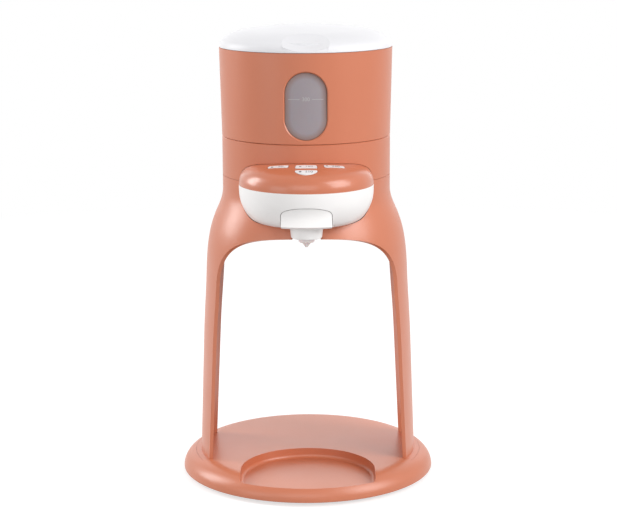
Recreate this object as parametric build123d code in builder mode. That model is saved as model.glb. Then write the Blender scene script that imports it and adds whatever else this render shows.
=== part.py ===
"""Baby formula maker: a water tank over an instant heater, carried on two legs above a round base.

Frame: millimetres, +Z up, the front faces -Y. The origin is on the table, under the centre of the base.
"""
import os
from math import sqrt

from build123d import *

os.makedirs("parts", exist_ok=True)

# ---------------------------------------------------------------- driving dimensions
# walls and clearances
wall = 2.5                  # moulded wall of the housings
part_gap = 0.3              # between bodies that move past each other
seam_gap = 0.2              # parting line between fixed mouldings
cover_gap = 0.2             # between the head's cover and the housing behind it
seat_clearance = 0.15       # round a piece that is let into another
screw_clearance = 0.15      # round a screw in the piece that it holds
thread_clearance = 0.05     # round a screw in the boss that it bites into
pin_clearance = 0.06        # running fit of the hinge pin in the lid
pin_seat = 0.02             # round the hinge pin in the tank's ears

# base
base_radius = 90.0
base_height = 16.0
base_bottom_z = 1.9         # the shell's lower edge, lifted by the rubber feet
rim_width = 15.0            # from the flat plate out to the rim's widest line
rim_mid_z = 3.2             # height of the widest line
rim_undercut = 6.0          # how far the rim draws in below its widest line
pocket_radius = 46.9        # bottle rest let into the front of the base
pocket_y = -55.1            # its round back is centred here, straight sides run forward
pocket_floor_z = 9.0
pocket_lip = 3.8            # width of the low lip in front of the bottle rest
pocket_corner = 4.5
pocket_floor_round = 2.5
pocket_edge_round = 1.0
bottom_plate_thickness = 2.4
base_screw_inset = 14.3     # the screws' circle inside the bottom plate's edge
base_screw_angle = 35.0     # from the X axis, to each side
base_boss_radius = 3.6
base_screw_slack = 1.5      # the holes run this far beyond the screws' tips
weight_inset = 21.3         # the weight's edge inside the bottom plate's edge
weight_thickness = 4.0
weight_pocket_gap = 5.0     # the weight stays this far clear of the bottle rest
foot_pad_radius = 8.0
foot_pad_inset = 10.3       # the feet's circle inside the bottom plate's edge
foot_pad_recess = 0.8
foot_pad_chamfer = 0.5

# legs and bell, turned about the Z axis
frame_top_z = 217.0         # parting line between the bell and the ring above it
body_radius = 59.0          # outside of the round body
leg_wall = 2.2
leg_foot_half_depth = 32.6  # half depth of a leg where it meets the base
leg_top_half_depth = 34.7   # half depth of a leg at the height of the arch's crown
foot_setback = 12.7         # outside of a leg inside the base's edge
knee_spread = 15.3          # how far the leg stands out beyond the body, from the knee up
hip_spread = 12.8    
bulge_spread = 8.7
slope_spread = 4.9
knee_drop = 120.0           # and how far below the parting line it does
hip_drop = 74.2
bulge_drop = 37.0
slope_drop = 26.3
shoulder_drop = 9.2
arch_radius = 39.0
arch_apron = 5.9            # strip of the bell left between the arch and the head
foot_flange_width = 3.8     # flange outside the leg, let into the base
foot_flange_thickness = 2.5
leg_boss_radius = 2.7
leg_boss_angle = 17.0
leg_boss_clearance = 0.15
leg_cup_wall = 2.0
leg_screw_skin = 2.0        # left over the tips of the leg screws

# housing ring and tank dock
ring_height = 27.4
ring_wall = 2.6
ring_tongue = 4.0           # how far the ring reaches down inside the frame
ring_chamfer = 0.5
deck_drop = 5.4             # the tank's deck below the ring's top
deck_thickness = 2.5
well_radius = 14.5
well_depth = 13.0
well_wall = 2.2
ring_screw_inset = 9.0      # the screws' circle inside the body
ring_screw_angles = (15, 50, 130, 165)
ring_screw_bite = 8.0       # the screw's tip below the deck
ring_boss_radius = 3.6
lug_length = 11.0
lug_offset = 3.0            # its middle lies outside the screw
lug_breadth = 9.0
lug_thickness = 3.0
gland_height = 12.0         # the cord gland above the parting line
gland_radius = 5.0
gland_flange = 7.5
gland_flange_thickness = 3.0
gland_chamfer = 1.0
gland_length = 10.0
gland_bore = 3.4
gland_nut_grip = 2.0        # the nut's corners outside its thread
gland_nut_height = 3.0
dock_stem_radius = 2.5
dock_stem_wall = 1.2
dock_stem_reach = 12.0      # below the well's floor
dock_flange_radius = 5.0
dock_flange_height = 1.5
dock_slot = 1.2
seal_inner_radius = 7.0
seal_height = 2.0
seal_lip = 1.2

# head: a round puck that stands out of the front
head_y = -43.5
head_radius = 46.1
head_split_drop = 0.8       # the head's parting line below the housing's
head_rise = 16.2            # crown above the parting line
head_crown_radius = 30.0
head_crown_sag = 1.8        # the crown above its edge
head_shoulder_radius = 39.5
head_shoulder_drop = 4.5    # shoulder below the crown
bowl_waist_radius = 44.9
bowl_waist_depth = 11.7     # below the parting line
bowl_turn_radius = 40.3
bowl_turn_depth = 20.8
bowl_floor_radius = 31.0
bowl_floor_sag = 2.4        # the floor below its edge
bowl_depth = 28.3
head_wall = 2.2
head_gap = 0.5              # shadow gap between the bowl and the bell
head_inset = 6.4            # the head's shells end this far inside the ring
head_post_x = 24.0
head_post_reach = 6.5       # in front of the head's axis
head_post_radius = 3.6
head_screw_seat = 17.0      # below the parting line
board_post_x = 33.0
board_post_reach = 18.5
board_post_radius = 2.3

# touch keys
key_travel = 0.8
key_proud = 0.3
key_gap = 0.3
key_flange = 0.8
key_flange_thickness = 1.1
key_height = 9.0            # from the crown down to the foot of the stems
key_corner = 1.2
key_row_reach = 20.8        # the row's back edge in front of the head's axis
key_row_depth = 7.2
key_inner_back = 1.1        # the side keys' corners lie this far behind the middle key's edges
key_outer_back = 2.3
key_inner_near = 2.9
key_outer_near = 5.7
key_middle_back = 6.8       # half width of the middle key along its back edge
key_middle_near = 7.55
key_side_inner = 11.7
key_side_outer = 24.6
key_inner_slant = 0.7
key_outer_slant = 1.6
key_lower_reach = 33.2
key_lower_half = 8.1
key_lower_depth = 6.0
switch_size = 4.5
switch_height = 3.9

# nozzle drawer
tab_width = 34.0
tab_gap = 0.35
tab_drop = 10.0             # the tab's top below the head's parting line
tab_height = 13.6
tab_corner = 0.8
tab_side_drop = 6.0         # its sides curve into the top from here
tab_shoulder_x = 12.5
tab_shoulder_drop = 1.5
tab_proud = 0.3             # the tab's top stands out of the bowl
tab_dish = 0.9              # and its middle lies behind that
tab_lip_radius = 46.2       # grip lip at the foot of the tab, from the head's axis
tab_lip_height = 1.2
tab_thickness = 4.7
spout_reach = 28.5          # the spout's axis in front of the head's axis
spout_top_radius = 11.4
spout_bottom_radius = 10.4
spout_length = 8.7
spout_round = 0.9
spout_floor = 2.5
spout_niche_gap = 0.8
nozzle_radius = 5.4
nozzle_wall = 1.0
nozzle_collar = 2.4         # length of the collar below the spout
nozzle_step = 0.6
nozzle_cone_radius = 3.3
nozzle_length = 6.5         # from the spout to the tip
nozzle_tip_radius = 0.8
nozzle_bore = 0.5
nozzle_flange = 1.5
cup_height = 6.4            # of the cup's edge above the tab's foot
cup_bore = 8.5
carrier_half_width = 13.0
carrier_thickness = 2.5
carrier_reach = 13.5        # the carrier's back edge in front of the head's axis
rail_width = 2.2
rail_length = 24.0
rail_overhang = 4.0         # behind the carrier
rail_lip = 2.0
mouth_margin = 4.0          # the drawer's mouth behind the spout's axis

# tank
tank_height = 61.3
tank_flare = 1.4            # the rim's radius over the body's
tank_wall = 2.2
tank_foot_chamfer = 0.2
window_width = 28.6
window_height = 45.8
window_rise = 25.7          # the window's centre above the tank's lower edge
window_bevel = 0.8
window_recess = 1.4
reservoir_clearance = 0.6
reservoir_slack = 1.2       # between the shell and the reservoir at the top
reservoir_wall = 2.0
reservoir_flange = 2.0
reservoir_foot_round = 1.2
flange_drop = 0.4           # the reservoir's flange below the rim
flange_rebate = 1.8         # wall left outside the reservoir's flange
flange_ledge = 0.8
flange_ledge_height = 2.0
collar_radius = 13.0
collar_gap = 3.5            # the collar's end above the well's floor
valve_bore = 10.0
valve_fit = 0.1
valve_orifice = 3.2
valve_seat_rise = 2.8       # above the collar's end
valve_lift = 2.0
valve_disc_radius = 5.4
valve_disc_thickness = 1.5
valve_stem_radius = 1.8
valve_stem_reach = 3.5      # above the cap
valve_chamber_radius = 7.4
valve_flange_width = 2.0
valve_flange_thickness = 1.6
valve_cap_thickness = 1.8
valve_seal_thickness = 1.0
valve_hole_circle = 5.2
valve_hole_radius = 1.5
valve_stem_chamfer = 0.5
spring_wire = 0.35
spring_radius = 3.4
spring_turns = 3.5
filter_radius = 14.0
filter_wall = 1.2
filter_slant = 2.0
filter_height = 11.1
filter_slots = 14
filter_slot_width = 1.6
filter_slot_height = 6.0

# lid
lid_height = 14.6
lid_edge_radius_drop = 4.4  # edge point inside the rim
lid_edge_rise = 6.7
lid_shoulder_radius = 40.0
lid_shoulder_rise = 11.9
lid_wall = 2.2
lid_skirt_depth = 4.5
lid_skirt_gap = 0.5
lid_skirt_wall = 1.6
lid_skirt_root = 5.9        # the skirt reaches this far up into the crown
tongue_width = 31.2
tongue_setback = 0.25       # the tab's front behind the tank's rim
tongue_depth = 6.4          # the tab stands out of the crown this far in from the rim
tongue_reach = 18.0         # its solid root reaches this far in
tongue_dish_radius = 75.0
tongue_dish_slope = 32.0
tongue_front_rise = 0.5     # lowest point of the finger dish above the lid's edge
hinge_radius = 3.4
hinge_pin_radius = 1.25
hinge_pin_chamfer = 0.3
hinge_overhang = 0.5        # hinge axis behind the tank's rim
hinge_gap = 0.35
knuckle_width = 16.0
ear_width = 6.0
ear_foot = 12.0             # the ears run down the shell this far below the hinge axis
ear_lip = 2.0

# inside the housing
chassis_drop = 3.9          # the underside cover below the head's bowl
chassis_thickness = 2.5
chassis_inset = 0.9         # its edge inside the bell's slope radius
chassis_screw_inset = 6.3
chassis_screw_angles = (15, 68, 112, 165)
chassis_boss_radius = 3.4
chassis_boss_height = 14.0
chassis_screw_bite = 10.0
chassis_rib_length = 5.6
chassis_rib_height = 7.0
vent_length = 34.0
vent_width = 2.0
vent_pitch = 5.0
vent_count = 7
pump_radius = 13.0
pump_x = -27.0
pump_y = 4.0
pump_height = 15.0          # the pump's axis above the underside cover
pump_length = 44.0
pump_chamfer = 1.5
pump_cradle_width = 22.0
pump_cradle_wrap = 5.0      # the cradle's top below the pump's axis
heater_x = 25.0
heater_y = 1.0
heater_length = 50.0
heater_width = 34.0
heater_block_height = 24.0
heater_stand = 3.5          # the block above the underside cover
heater_corner = 5.0
heater_groove_width = 3.0
heater_groove_depth = 2.0
heater_groove_pitch = 7.0
heater_groove_length = 28.0
heater_pipe_offset = 9.0
heater_pipe_depth = 5.5
bracket_strip = 1.2
bracket_foot = 6.0
bracket_inset = 4.0
bracket_side = 6.0
sensor_offset = 12.5
sensor_inset = 5.5
sensor_hex = 3.4
sensor_hex_height = 2.5
sensor_stem_radius = 1.8
sensor_stem_height = 6.0
fuse_radius = 2.0
fuse_length = 11.0
fuse_wire_radius = 0.6
fuse_wire_length = 18.0
fuse_inset = 5.0
hose_radius = 3.4
hose_bore = 2.6
pressure_hose_radius = 3.1
hose_bend = 6.4
inlet_loop = 16.0           # how far the hoses swing out before the pump and behind it
pressure_loop = 12.0
pressure_bend = 5.0
hose_end_gap = 0.2
outlet_tube_radius = 2.6
outlet_tube_bore = 1.6
outlet_bends = (6.0, 8.0, 4.0)
outlet_start = 14.0         # the outlet tube turns to the middle between these two places
outlet_end = 26.0
outlet_clear = 1.5          # its end above the spout's cup
spigot_radius = 2.5
spigot_length = 5.0
board_thickness = 1.6
board_margin = 3.0          # round the control board
board_clear = 2.0           # between the control board and the head's posts
power_board_y = 44.0
power_board_half = 24.0
power_board_height = 24.0
power_board_rise = 2.5
relay_size = (10.0, 5.5, 14.0)
capacitor_radius = 4.0
capacitor_height = 14.0
socket_size = (14.0, 5.0, 5.0)
relay_x = 9.0
part_rise = 4.0             # the parts on the power board above its lower edge
guide_width = 6.0
guide_height = 9.0

# screws
screw_radius = 1.45
base_screw_radius = 1.25
screw_head_radius = 2.8
screw_head_height = 1.8
screw_head_recess = 1.2
small_screw_radius = 1.0
small_screw_head = 1.9
small_screw_head_height = 1.2

# ---------------------------------------------------------------- worked out from them
plate_radius = base_radius - rim_width
rim_foot_radius = base_radius - rim_undercut
lip_radius = base_radius - pocket_lip
cover_radius = rim_foot_radius - wall - seam_gap
bottom_plate_top_z = base_bottom_z + bottom_plate_thickness
base_screw_circle = cover_radius - base_screw_inset
foot_pad_circle = cover_radius - foot_pad_inset
weight_radius = cover_radius - weight_inset

ring_bottom_z = frame_top_z + seam_gap
ring_top_z = frame_top_z + ring_height
ring_inner = body_radius - ring_wall
deck_top_z = ring_top_z - deck_drop
deck_bottom_z = deck_top_z - deck_thickness
well_floor_z = deck_top_z - well_depth
ring_screw_circle = body_radius - ring_screw_inset
ring_screw_tip_z = deck_bottom_z - ring_screw_bite
lug_top_z = frame_top_z - ring_tongue - 1.0
gland_z = frame_top_z + gland_height
gland_seat_y = sqrt(body_radius**2 - gland_flange**2) - seam_gap
gland_nut_y = sqrt(ring_inner**2 - (gland_radius + gland_nut_grip) ** 2) - seam_gap

head_split_z = frame_top_z - head_split_drop
head_crown_z = head_split_z + head_rise
head_crown_edge_z = head_crown_z - head_crown_sag
head_shoulder_z = head_crown_z - head_shoulder_drop
bowl_waist_z = head_split_z - bowl_waist_depth
bowl_turn_z = head_split_z - bowl_turn_depth
bowl_floor_z = head_split_z - bowl_depth
bowl_floor_edge_z = bowl_floor_z + bowl_floor_sag
head_reach = ring_inner - head_inset
head_post_y = head_y - head_post_reach
head_screw_seat_z = head_split_z - head_screw_seat
board_post_y = head_y - board_post_reach
head_post_top_z = head_crown_edge_z - head_wall / 2
board_post_top_z = head_shoulder_z - head_wall / 2

key_row_back_y = head_y - key_row_reach
key_row_near_y = key_row_back_y - key_row_depth
key_lower_back_y = head_y - key_lower_reach
key_stem_bottom_z = head_crown_z - key_height
switch_top_z = key_stem_bottom_z - key_travel - part_gap
control_board_z = switch_top_z - switch_height

tab_top_z = head_split_z - tab_drop
tab_bottom_z = tab_top_z - tab_height
tab_inner_radius = tab_lip_radius - tab_thickness
carrier_front_y = head_y - tab_inner_radius - seam_gap
spout_y = head_y - spout_reach
spout_bottom_z = tab_bottom_z - spout_length
spout_floor_z = spout_bottom_z + spout_floor
spout_niche_radius = spout_top_radius + spout_niche_gap
cup_top_z = tab_bottom_z + cup_height
nozzle_tip_z = spout_bottom_z - nozzle_length
nozzle_collar_z = spout_bottom_z - nozzle_collar
carrier_back_y = head_y - carrier_reach
mouth_back_y = spout_y + mouth_margin
rail_top_z = tab_bottom_z + 2 * carrier_thickness
rail_y = carrier_back_y + rail_overhang - rail_length / 2
rail_x = carrier_half_width + part_gap + rail_width / 2

foot_radius = base_radius - foot_setback
leg_inner = foot_radius - leg_wall
flange_radius = foot_radius + foot_flange_width
flange_bottom_z = base_height - foot_flange_thickness
base_screw_tip_z = flange_bottom_z - wall - base_screw_slack
leg_boss_circle = (leg_inner + flange_radius) / 2
cup_floor_z = bottom_plate_top_z + part_gap + screw_head_height + wall
leg_boss_bottom_z = cup_floor_z + leg_boss_clearance
leg_screw_tip_z = base_height - leg_screw_skin
leg_cup_radius = leg_boss_radius + leg_cup_wall
knee_radius = body_radius + knee_spread
hip_radius = body_radius + hip_spread
bulge_radius = body_radius + bulge_spread
slope_radius = body_radius + slope_spread
knee_z = frame_top_z - knee_drop
hip_z = frame_top_z - hip_drop
bulge_z = frame_top_z - bulge_drop
slope_z = frame_top_z - slope_drop
shoulder_z = frame_top_z - shoulder_drop
arch_crown_z = bowl_floor_z - arch_apron
niche_bottom_z = arch_crown_z
niche_reach = slope_radius + 1.0
chassis_bottom_z = bowl_floor_z - chassis_drop
chassis_top_z = chassis_bottom_z + chassis_thickness
chassis_radius = slope_radius - chassis_inset
chassis_screw_circle = chassis_radius - chassis_screw_inset

tank_bottom_z = ring_top_z + part_gap
tank_top_z = tank_bottom_z + tank_height
tank_top_radius = body_radius + tank_flare
window_z = tank_bottom_z + window_rise
shell_base_inner = body_radius - tank_wall
shell_top_inner = tank_top_radius - tank_wall
flange_top_z = tank_top_z - flange_drop
flange_seat_z = flange_top_z - reservoir_flange
reservoir_bottom_z = deck_top_z + part_gap
reservoir_radius = ring_inner - reservoir_clearance
reservoir_top_radius = shell_top_inner - reservoir_slack
pane_radius = (body_radius + tank_top_radius) / 2 - window_recess
tank_floor_z = reservoir_bottom_z + reservoir_wall
collar_bottom_z = well_floor_z + collar_gap
valve_seat_z = collar_bottom_z + valve_seat_rise
valve_disc_z = valve_seat_z + part_gap + valve_lift + valve_seal_thickness
valve_body_radius = valve_bore - valve_fit
valve_flange_radius = valve_bore + valve_flange_width
valve_flange_top_z = tank_floor_z + valve_flange_thickness
valve_stem_top_z = valve_flange_top_z + valve_cap_thickness + valve_stem_reach
dock_stem_top_z = valve_disc_z - part_gap
filter_top_z = tank_floor_z + filter_height

lid_bottom_z = tank_top_z + part_gap
lid_crown_z = lid_bottom_z + lid_height
lid_edge_z = lid_bottom_z + lid_edge_rise
lid_edge_radius = tank_top_radius - lid_edge_radius_drop
lid_shoulder_z = lid_bottom_z + lid_shoulder_rise
skirt_radius = reservoir_top_radius - reservoir_wall - lid_skirt_gap
tongue_radius = tank_top_radius - tongue_setback
tongue_front_z = lid_bottom_z + tongue_front_rise
tongue_root_radius = tank_top_radius - tongue_depth
hinge_y = tank_top_radius + hinge_overhang
hinge_z = lid_bottom_z
knuckle_half = knuckle_width / 2
hinge_half = knuckle_half + hinge_gap + ear_width

pump_z = chassis_top_z + pump_height
pump_front = pump_y - pump_length / 2
pump_back = pump_y + pump_length / 2
heater_bottom_z = chassis_top_z + heater_stand
heater_top_z = heater_bottom_z + heater_block_height
heater_front = heater_y - heater_length / 2
heater_back = heater_y + heater_length / 2
heater_pipe_x = heater_x - heater_pipe_offset
water_z = heater_top_z - heater_pipe_depth
power_board_z = chassis_top_z + power_board_rise

head_axis = Axis((0, head_y, 0), (0, 0, 1))
head_plane = Plane.XZ.offset(-head_y)
spout_axis = Axis((0, spout_y, 0), (0, 0, 1))
spout_plane = Plane.XZ.offset(-spout_y)
UPRIGHT = (Align.CENTER, Align.CENTER, Align.MIN)      # stands on its place
HANGING = (Align.CENTER, Align.CENTER, Align.MAX)      # hangs from it


def finish(piece, name):
    """Label a finished piece and write its STEP file."""
    piece.part.label = name
    export_step(piece.part, f"parts/{name}.step")


def shank_and_head(x, y, head_bottom, head_top, tip, radius, head_radius):
    """One screw on a vertical axis, its head below and its shank pointing up."""
    with Locations((x, y, head_bottom)):
        Cylinder(head_radius, head_top - head_bottom, align=UPRIGHT)
    with Locations((x, y, head_top)):
        Cylinder(radius, tip - head_top, align=UPRIGHT)


def post(x, y, bottom, top, radius, mode=Mode.ADD):
    """An upright round boss, or a hole when it is subtracted."""
    with Locations((x, y, bottom)):
        Cylinder(radius, top - bottom, align=UPRIGHT, mode=mode)


def cap_radius(edge, middle):
    """Radius of a round cap with its centre on the axis; negative for one that bulges downwards."""
    rise = middle[1] - edge[1]
    return (edge[0] ** 2 + rise**2) / (2 * rise)


def cap_slope(edge, middle):
    """Direction in which a round cap leaves its edge."""
    return (-1, edge[0] / (cap_radius(edge, middle) - middle[1] + edge[1]))


# ================================================================ base
def rim_outline(inset):
    """Half section of the base, turned about Z; inset moves it inwards for the hollow."""
    foot = (rim_foot_radius - inset, base_bottom_z)
    top = base_height - inset
    reach = base_radius - inset - plate_radius
    Polyline(foot, (0, base_bottom_z), (0, top), (plate_radius, top))
    EllipticalCenterArc((plate_radius, rim_mid_z), reach, top - rim_mid_z, 0, arc_size=90)
    EllipticalCenterArc((rim_foot_radius - inset, rim_mid_z), rim_undercut, rim_mid_z - base_bottom_z, 270,
                        arc_size=90)


base_screw_spots = []
for turn in (base_screw_angle, 180 - base_screw_angle, 180 + base_screw_angle, -base_screw_angle):
    base_screw_spots += PolarLocations(base_screw_circle, 1, turn).locations
leg_screw_spots = []
for side in (0, 180):
    for turn in (-leg_boss_angle, 0, leg_boss_angle):
        leg_screw_spots += PolarLocations(leg_boss_circle, 1, side + turn).locations


def pocket_plan(grow):
    """The bottle rest from above: a round back with straight sides running forward."""
    with Locations((0, pocket_y)):
        Circle(pocket_radius + grow)
        Rectangle(2 * (pocket_radius + grow), base_radius, align=(Align.CENTER, Align.MAX))


def foot_plan(grow):
    """The legs' foot flanges, seen from above and grown on all sides."""
    Circle(flange_radius + grow)
    Circle(leg_inner - grow, mode=Mode.SUBTRACT)
    Rectangle(3 * base_radius, 2 * (leg_foot_half_depth + grow), mode=Mode.INTERSECT)


with BuildPart() as rim_block:          # the base as a solid block, which trims what stands in it
    with BuildSketch(Plane.XZ):
        with BuildLine():
            rim_outline(0)
        make_face()
    revolve(axis=Axis.Z)

with BuildPart() as base_hollow:        # the space under the plate, with its bosses left out
    with BuildSketch(Plane.XZ):
        with BuildLine():
            rim_outline(wall)
        make_face()
    revolve(axis=Axis.Z)
    with BuildSketch(Plane.XY.offset(pocket_floor_z - wall)):
        pocket_plan(wall)
    extrude(amount=base_height, mode=Mode.SUBTRACT)
    with BuildSketch(Plane.XY.offset(flange_bottom_z - wall)):
        foot_plan(wall)
    extrude(amount=base_height, mode=Mode.SUBTRACT)
    with Locations(*base_screw_spots):
        Cylinder(base_boss_radius, 3 * base_height, mode=Mode.SUBTRACT)
    for spot in leg_screw_spots:
        post(spot.position.X, spot.position.Y, cup_floor_z - wall, base_height, leg_cup_radius, Mode.SUBTRACT)

with BuildPart() as bottle_rest:        # the pocket, cut off in front by a lip that follows the rim
    with BuildSketch(Plane.XY.offset(pocket_floor_z)) as rest_plan:
        pocket_plan(0)
        Circle(lip_radius, mode=Mode.INTERSECT)
        fillet(rest_plan.vertices().sort_by(Axis.Y)[:2], pocket_corner)
    extrude(amount=base_height)
    fillet(bottle_rest.faces().sort_by(Axis.Z)[0].edges(), pocket_floor_round)

with BuildPart() as base_shell:
    add(rim_block.part)
    add(base_hollow.part, mode=Mode.SUBTRACT)
    # room for the bottom plate under the screw bosses
    with BuildSketch(Plane.XY.offset(base_bottom_z)):
        Circle(rim_foot_radius - wall)
    extrude(amount=bottom_plate_thickness, mode=Mode.SUBTRACT)
    # bottle rest
    add(bottle_rest.part, mode=Mode.SUBTRACT)
    # seats of the leg feet
    with BuildSketch(Plane.XY.offset(flange_bottom_z)):
        foot_plan(seat_clearance)
    extrude(amount=base_height, mode=Mode.SUBTRACT)
    for spot in leg_screw_spots:
        post(spot.position.X, spot.position.Y, cup_floor_z, base_height,
             leg_boss_radius + leg_boss_clearance, Mode.SUBTRACT)
    with Locations(*leg_screw_spots):
        Cylinder(screw_radius + screw_clearance, 2 * base_height, mode=Mode.SUBTRACT)
    for spot in base_screw_spots:
        post(spot.position.X, spot.position.Y, 0, flange_bottom_z - wall,
             base_screw_radius + thread_clearance, Mode.SUBTRACT)
finish(base_shell, "base_shell")

with BuildPart() as base_cover:
    with BuildSketch(Plane.XY.offset(base_bottom_z)):
        Circle(cover_radius)
    extrude(amount=bottom_plate_thickness - seam_gap)
    with BuildSketch(Plane.XY.offset(base_bottom_z)):      # recesses that hold the feet
        with PolarLocations(foot_pad_circle, 4, 45):
            Circle(foot_pad_radius + seam_gap)
    extrude(amount=foot_pad_recess, mode=Mode.SUBTRACT)
    with Locations(*[spot * Pos(0, 0, base_bottom_z) * Rot(180, 0, 0) for spot in base_screw_spots]):
        CounterBoreHole(screw_radius + screw_clearance, screw_head_radius + part_gap, screw_head_recess,
                        depth=bottom_plate_thickness)
finish(base_cover, "base_cover")

with BuildPart() as rubber_feet:
    with BuildSketch():
        with PolarLocations(foot_pad_circle, 4, 45):
            Circle(foot_pad_radius)
    extrude(amount=base_bottom_z + foot_pad_recess)
    foot_edges = rubber_feet.edges().filter_by(GeomType.CIRCLE).group_by(Axis.Z)[0]
    chamfer(foot_edges, foot_pad_chamfer)
finish(rubber_feet, "rubber_feet")

with BuildPart() as base_screws:
    for spot in base_screw_spots:
        shank_and_head(spot.position.X, spot.position.Y, base_bottom_z + seam_gap,
                       base_bottom_z + screw_head_recess, base_screw_tip_z,
                       base_screw_radius, screw_head_radius)
finish(base_screws, "base_screws")

with BuildPart() as base_weight:
    with BuildSketch(Plane.XY.offset(bottom_plate_top_z)):
        Circle(weight_radius)
    extrude(amount=weight_thickness)
    with BuildSketch(Plane.XY.offset(bottom_plate_top_z)):
        pocket_plan(weight_pocket_gap)
    extrude(amount=weight_thickness, mode=Mode.SUBTRACT)
finish(base_weight, "base_weight")

with BuildPart() as leg_screws:
    for spot in leg_screw_spots:
        shank_and_head(spot.position.X, spot.position.Y, cup_floor_z - wall - screw_head_height,
                       cup_floor_z - wall, leg_screw_tip_z, screw_radius, screw_head_radius)
finish(leg_screws, "leg_screws")


# ================================================================ head outline, shared by its neighbours
def dome_line(inset):
    """Right half of the head's top, from the split line to the crown, in its own half plane."""
    crown_edge = (head_crown_radius - inset * 0.1, head_crown_edge_z - inset)
    crown = (0, head_crown_z - inset)
    Spline(
        (head_radius - inset, head_split_z),
        (head_shoulder_radius - inset * 0.6, head_shoulder_z - inset * 0.8),
        crown_edge,
        tangents=((0, 1), cap_slope(crown_edge, crown)),
    )
    RadiusArc(crown_edge, crown, -cap_radius(crown_edge, crown))


def bowl_line(inset):
    """Right half of the head's underside, from the split line to the middle of its floor."""
    floor_edge = (bowl_floor_radius - inset * 0.3, bowl_floor_edge_z + inset)
    floor = (0, bowl_floor_z + inset)
    Spline(
        (head_radius - inset, head_split_z),
        (bowl_waist_radius - inset, bowl_waist_z + inset * 0.3),
        (bowl_turn_radius - inset * 0.8, bowl_turn_z + inset * 0.6),
        floor_edge,
        tangents=((0, -1), cap_slope(floor_edge, floor)),
    )
    RadiusArc(floor_edge, floor, -cap_radius(floor_edge, floor))


with BuildPart() as head_space:         # the head with its shadow gap, cut from the housing round it
    with BuildSketch(head_plane):
        with BuildLine():
            dome_line(-cover_gap)
            Line((head_radius + cover_gap, head_split_z), (head_radius + head_gap, head_split_z))
            bowl_line(-head_gap)
            Line((0, head_crown_z + cover_gap), (0, bowl_floor_z - head_gap))
        make_face()
    revolve(axis=head_axis)


# ================================================================ legs and bell
def bell_line(inset):
    """Right side of the bell and leg from the neck down to the foot."""
    leg_tangent = (foot_radius - knee_radius, base_height - knee_z)
    Line((body_radius - inset, frame_top_z), (body_radius - inset, shoulder_z))
    Spline(
        (body_radius - inset, shoulder_z),
        (slope_radius - inset, slope_z),
        (bulge_radius - inset, bulge_z),
        (hip_radius - inset, hip_z),
        (knee_radius - inset, knee_z),
        tangents=((0, -1), leg_tangent),
    )
    Line((knee_radius - inset, knee_z), (foot_radius - inset, base_height))
    Line((foot_radius - inset, base_height), (foot_radius - inset, flange_bottom_z))


with BuildPart() as foot_flanges:       # let into the base, flush with its rounded rim
    with BuildSketch(Plane.XY.offset(flange_bottom_z)):
        foot_plan(0)
    extrude(amount=foot_flange_thickness)
    add(rim_block.part, mode=Mode.INTERSECT)

with BuildPart() as leg_frame:
    with BuildSketch(Plane.XZ):
        with BuildLine():
            bell_line(0)
            bell_line(leg_wall)
            Line((body_radius - leg_wall, frame_top_z), (body_radius, frame_top_z))
            Line((foot_radius - leg_wall, flange_bottom_z), (foot_radius, flange_bottom_z))
        make_face()
    revolve(axis=Axis.Z)
    add(foot_flanges.part)
    # everything in front of and behind the legs goes, up to the arch
    with BuildSketch(Plane.YZ):
        with BuildLine():
            foot = (leg_foot_half_depth, base_height)
            corner = (leg_top_half_depth, arch_crown_z)
            beyond = (2 * base_radius, arch_crown_z)
            Line((leg_foot_half_depth, 0), foot)
            FilletPolyline(foot, corner, beyond, radius=arch_radius)
            Polyline(beyond, (2 * base_radius, 0), (leg_foot_half_depth, 0))
        make_face()
        mirror(about=Plane.YZ)
    extrude(amount=2 * base_radius, both=True, mode=Mode.SUBTRACT)
    # niche behind the spout, then the seat of the head
    with BuildSketch(Plane.XY.offset(niche_bottom_z)):
        with Locations((0, spout_y)):
            Circle(spout_niche_radius + wall)
        Circle(niche_reach, mode=Mode.INTERSECT)
    extrude(amount=bowl_floor_z - niche_bottom_z)
    with BuildSketch(Plane.XY.offset(niche_bottom_z - wall)):
        with Locations((0, spout_y)):
            Circle(spout_niche_radius)
        with Locations((0, spout_y - base_radius / 2)):
            Rectangle(2 * spout_niche_radius, base_radius)
    extrude(amount=bowl_floor_z - niche_bottom_z + 3 * wall, mode=Mode.SUBTRACT)
    add(head_space.part, mode=Mode.SUBTRACT)
    # bosses under the feet
    for spot in leg_screw_spots:
        post(spot.position.X, spot.position.Y, leg_boss_bottom_z, flange_bottom_z, leg_boss_radius)
        post(spot.position.X, spot.position.Y, 0, leg_screw_tip_z + seam_gap,
             screw_radius + thread_clearance, Mode.SUBTRACT)
    # bosses for the underside cover and lugs for the ring
    for angle in chassis_screw_angles:
        with Locations(Rot(0, 0, angle)):
            with Locations((chassis_screw_circle, 0, chassis_top_z)):
                Cylinder(chassis_boss_radius, chassis_boss_height, align=UPRIGHT)
            with Locations((chassis_screw_circle + chassis_rib_length / 2, 0, chassis_top_z)):
                Box(chassis_rib_length, leg_wall, chassis_rib_height, align=UPRIGHT)
            with Locations((chassis_screw_circle, 0, 0)):
                Cylinder(screw_radius + thread_clearance, chassis_top_z + chassis_boss_height - leg_wall,
                         mode=Mode.SUBTRACT, align=UPRIGHT)
    for angle in ring_screw_angles:
        with Locations(Rot(0, 0, angle)):
            with Locations((ring_screw_circle + lug_offset, 0, lug_top_z)):
                Box(lug_length, lug_breadth, lug_thickness, align=HANGING)
            with Locations((ring_screw_circle, 0, lug_top_z)):
                Cylinder(screw_radius + screw_clearance, 3 * lug_thickness, mode=Mode.SUBTRACT)
finish(leg_frame, "leg_frame")

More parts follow.
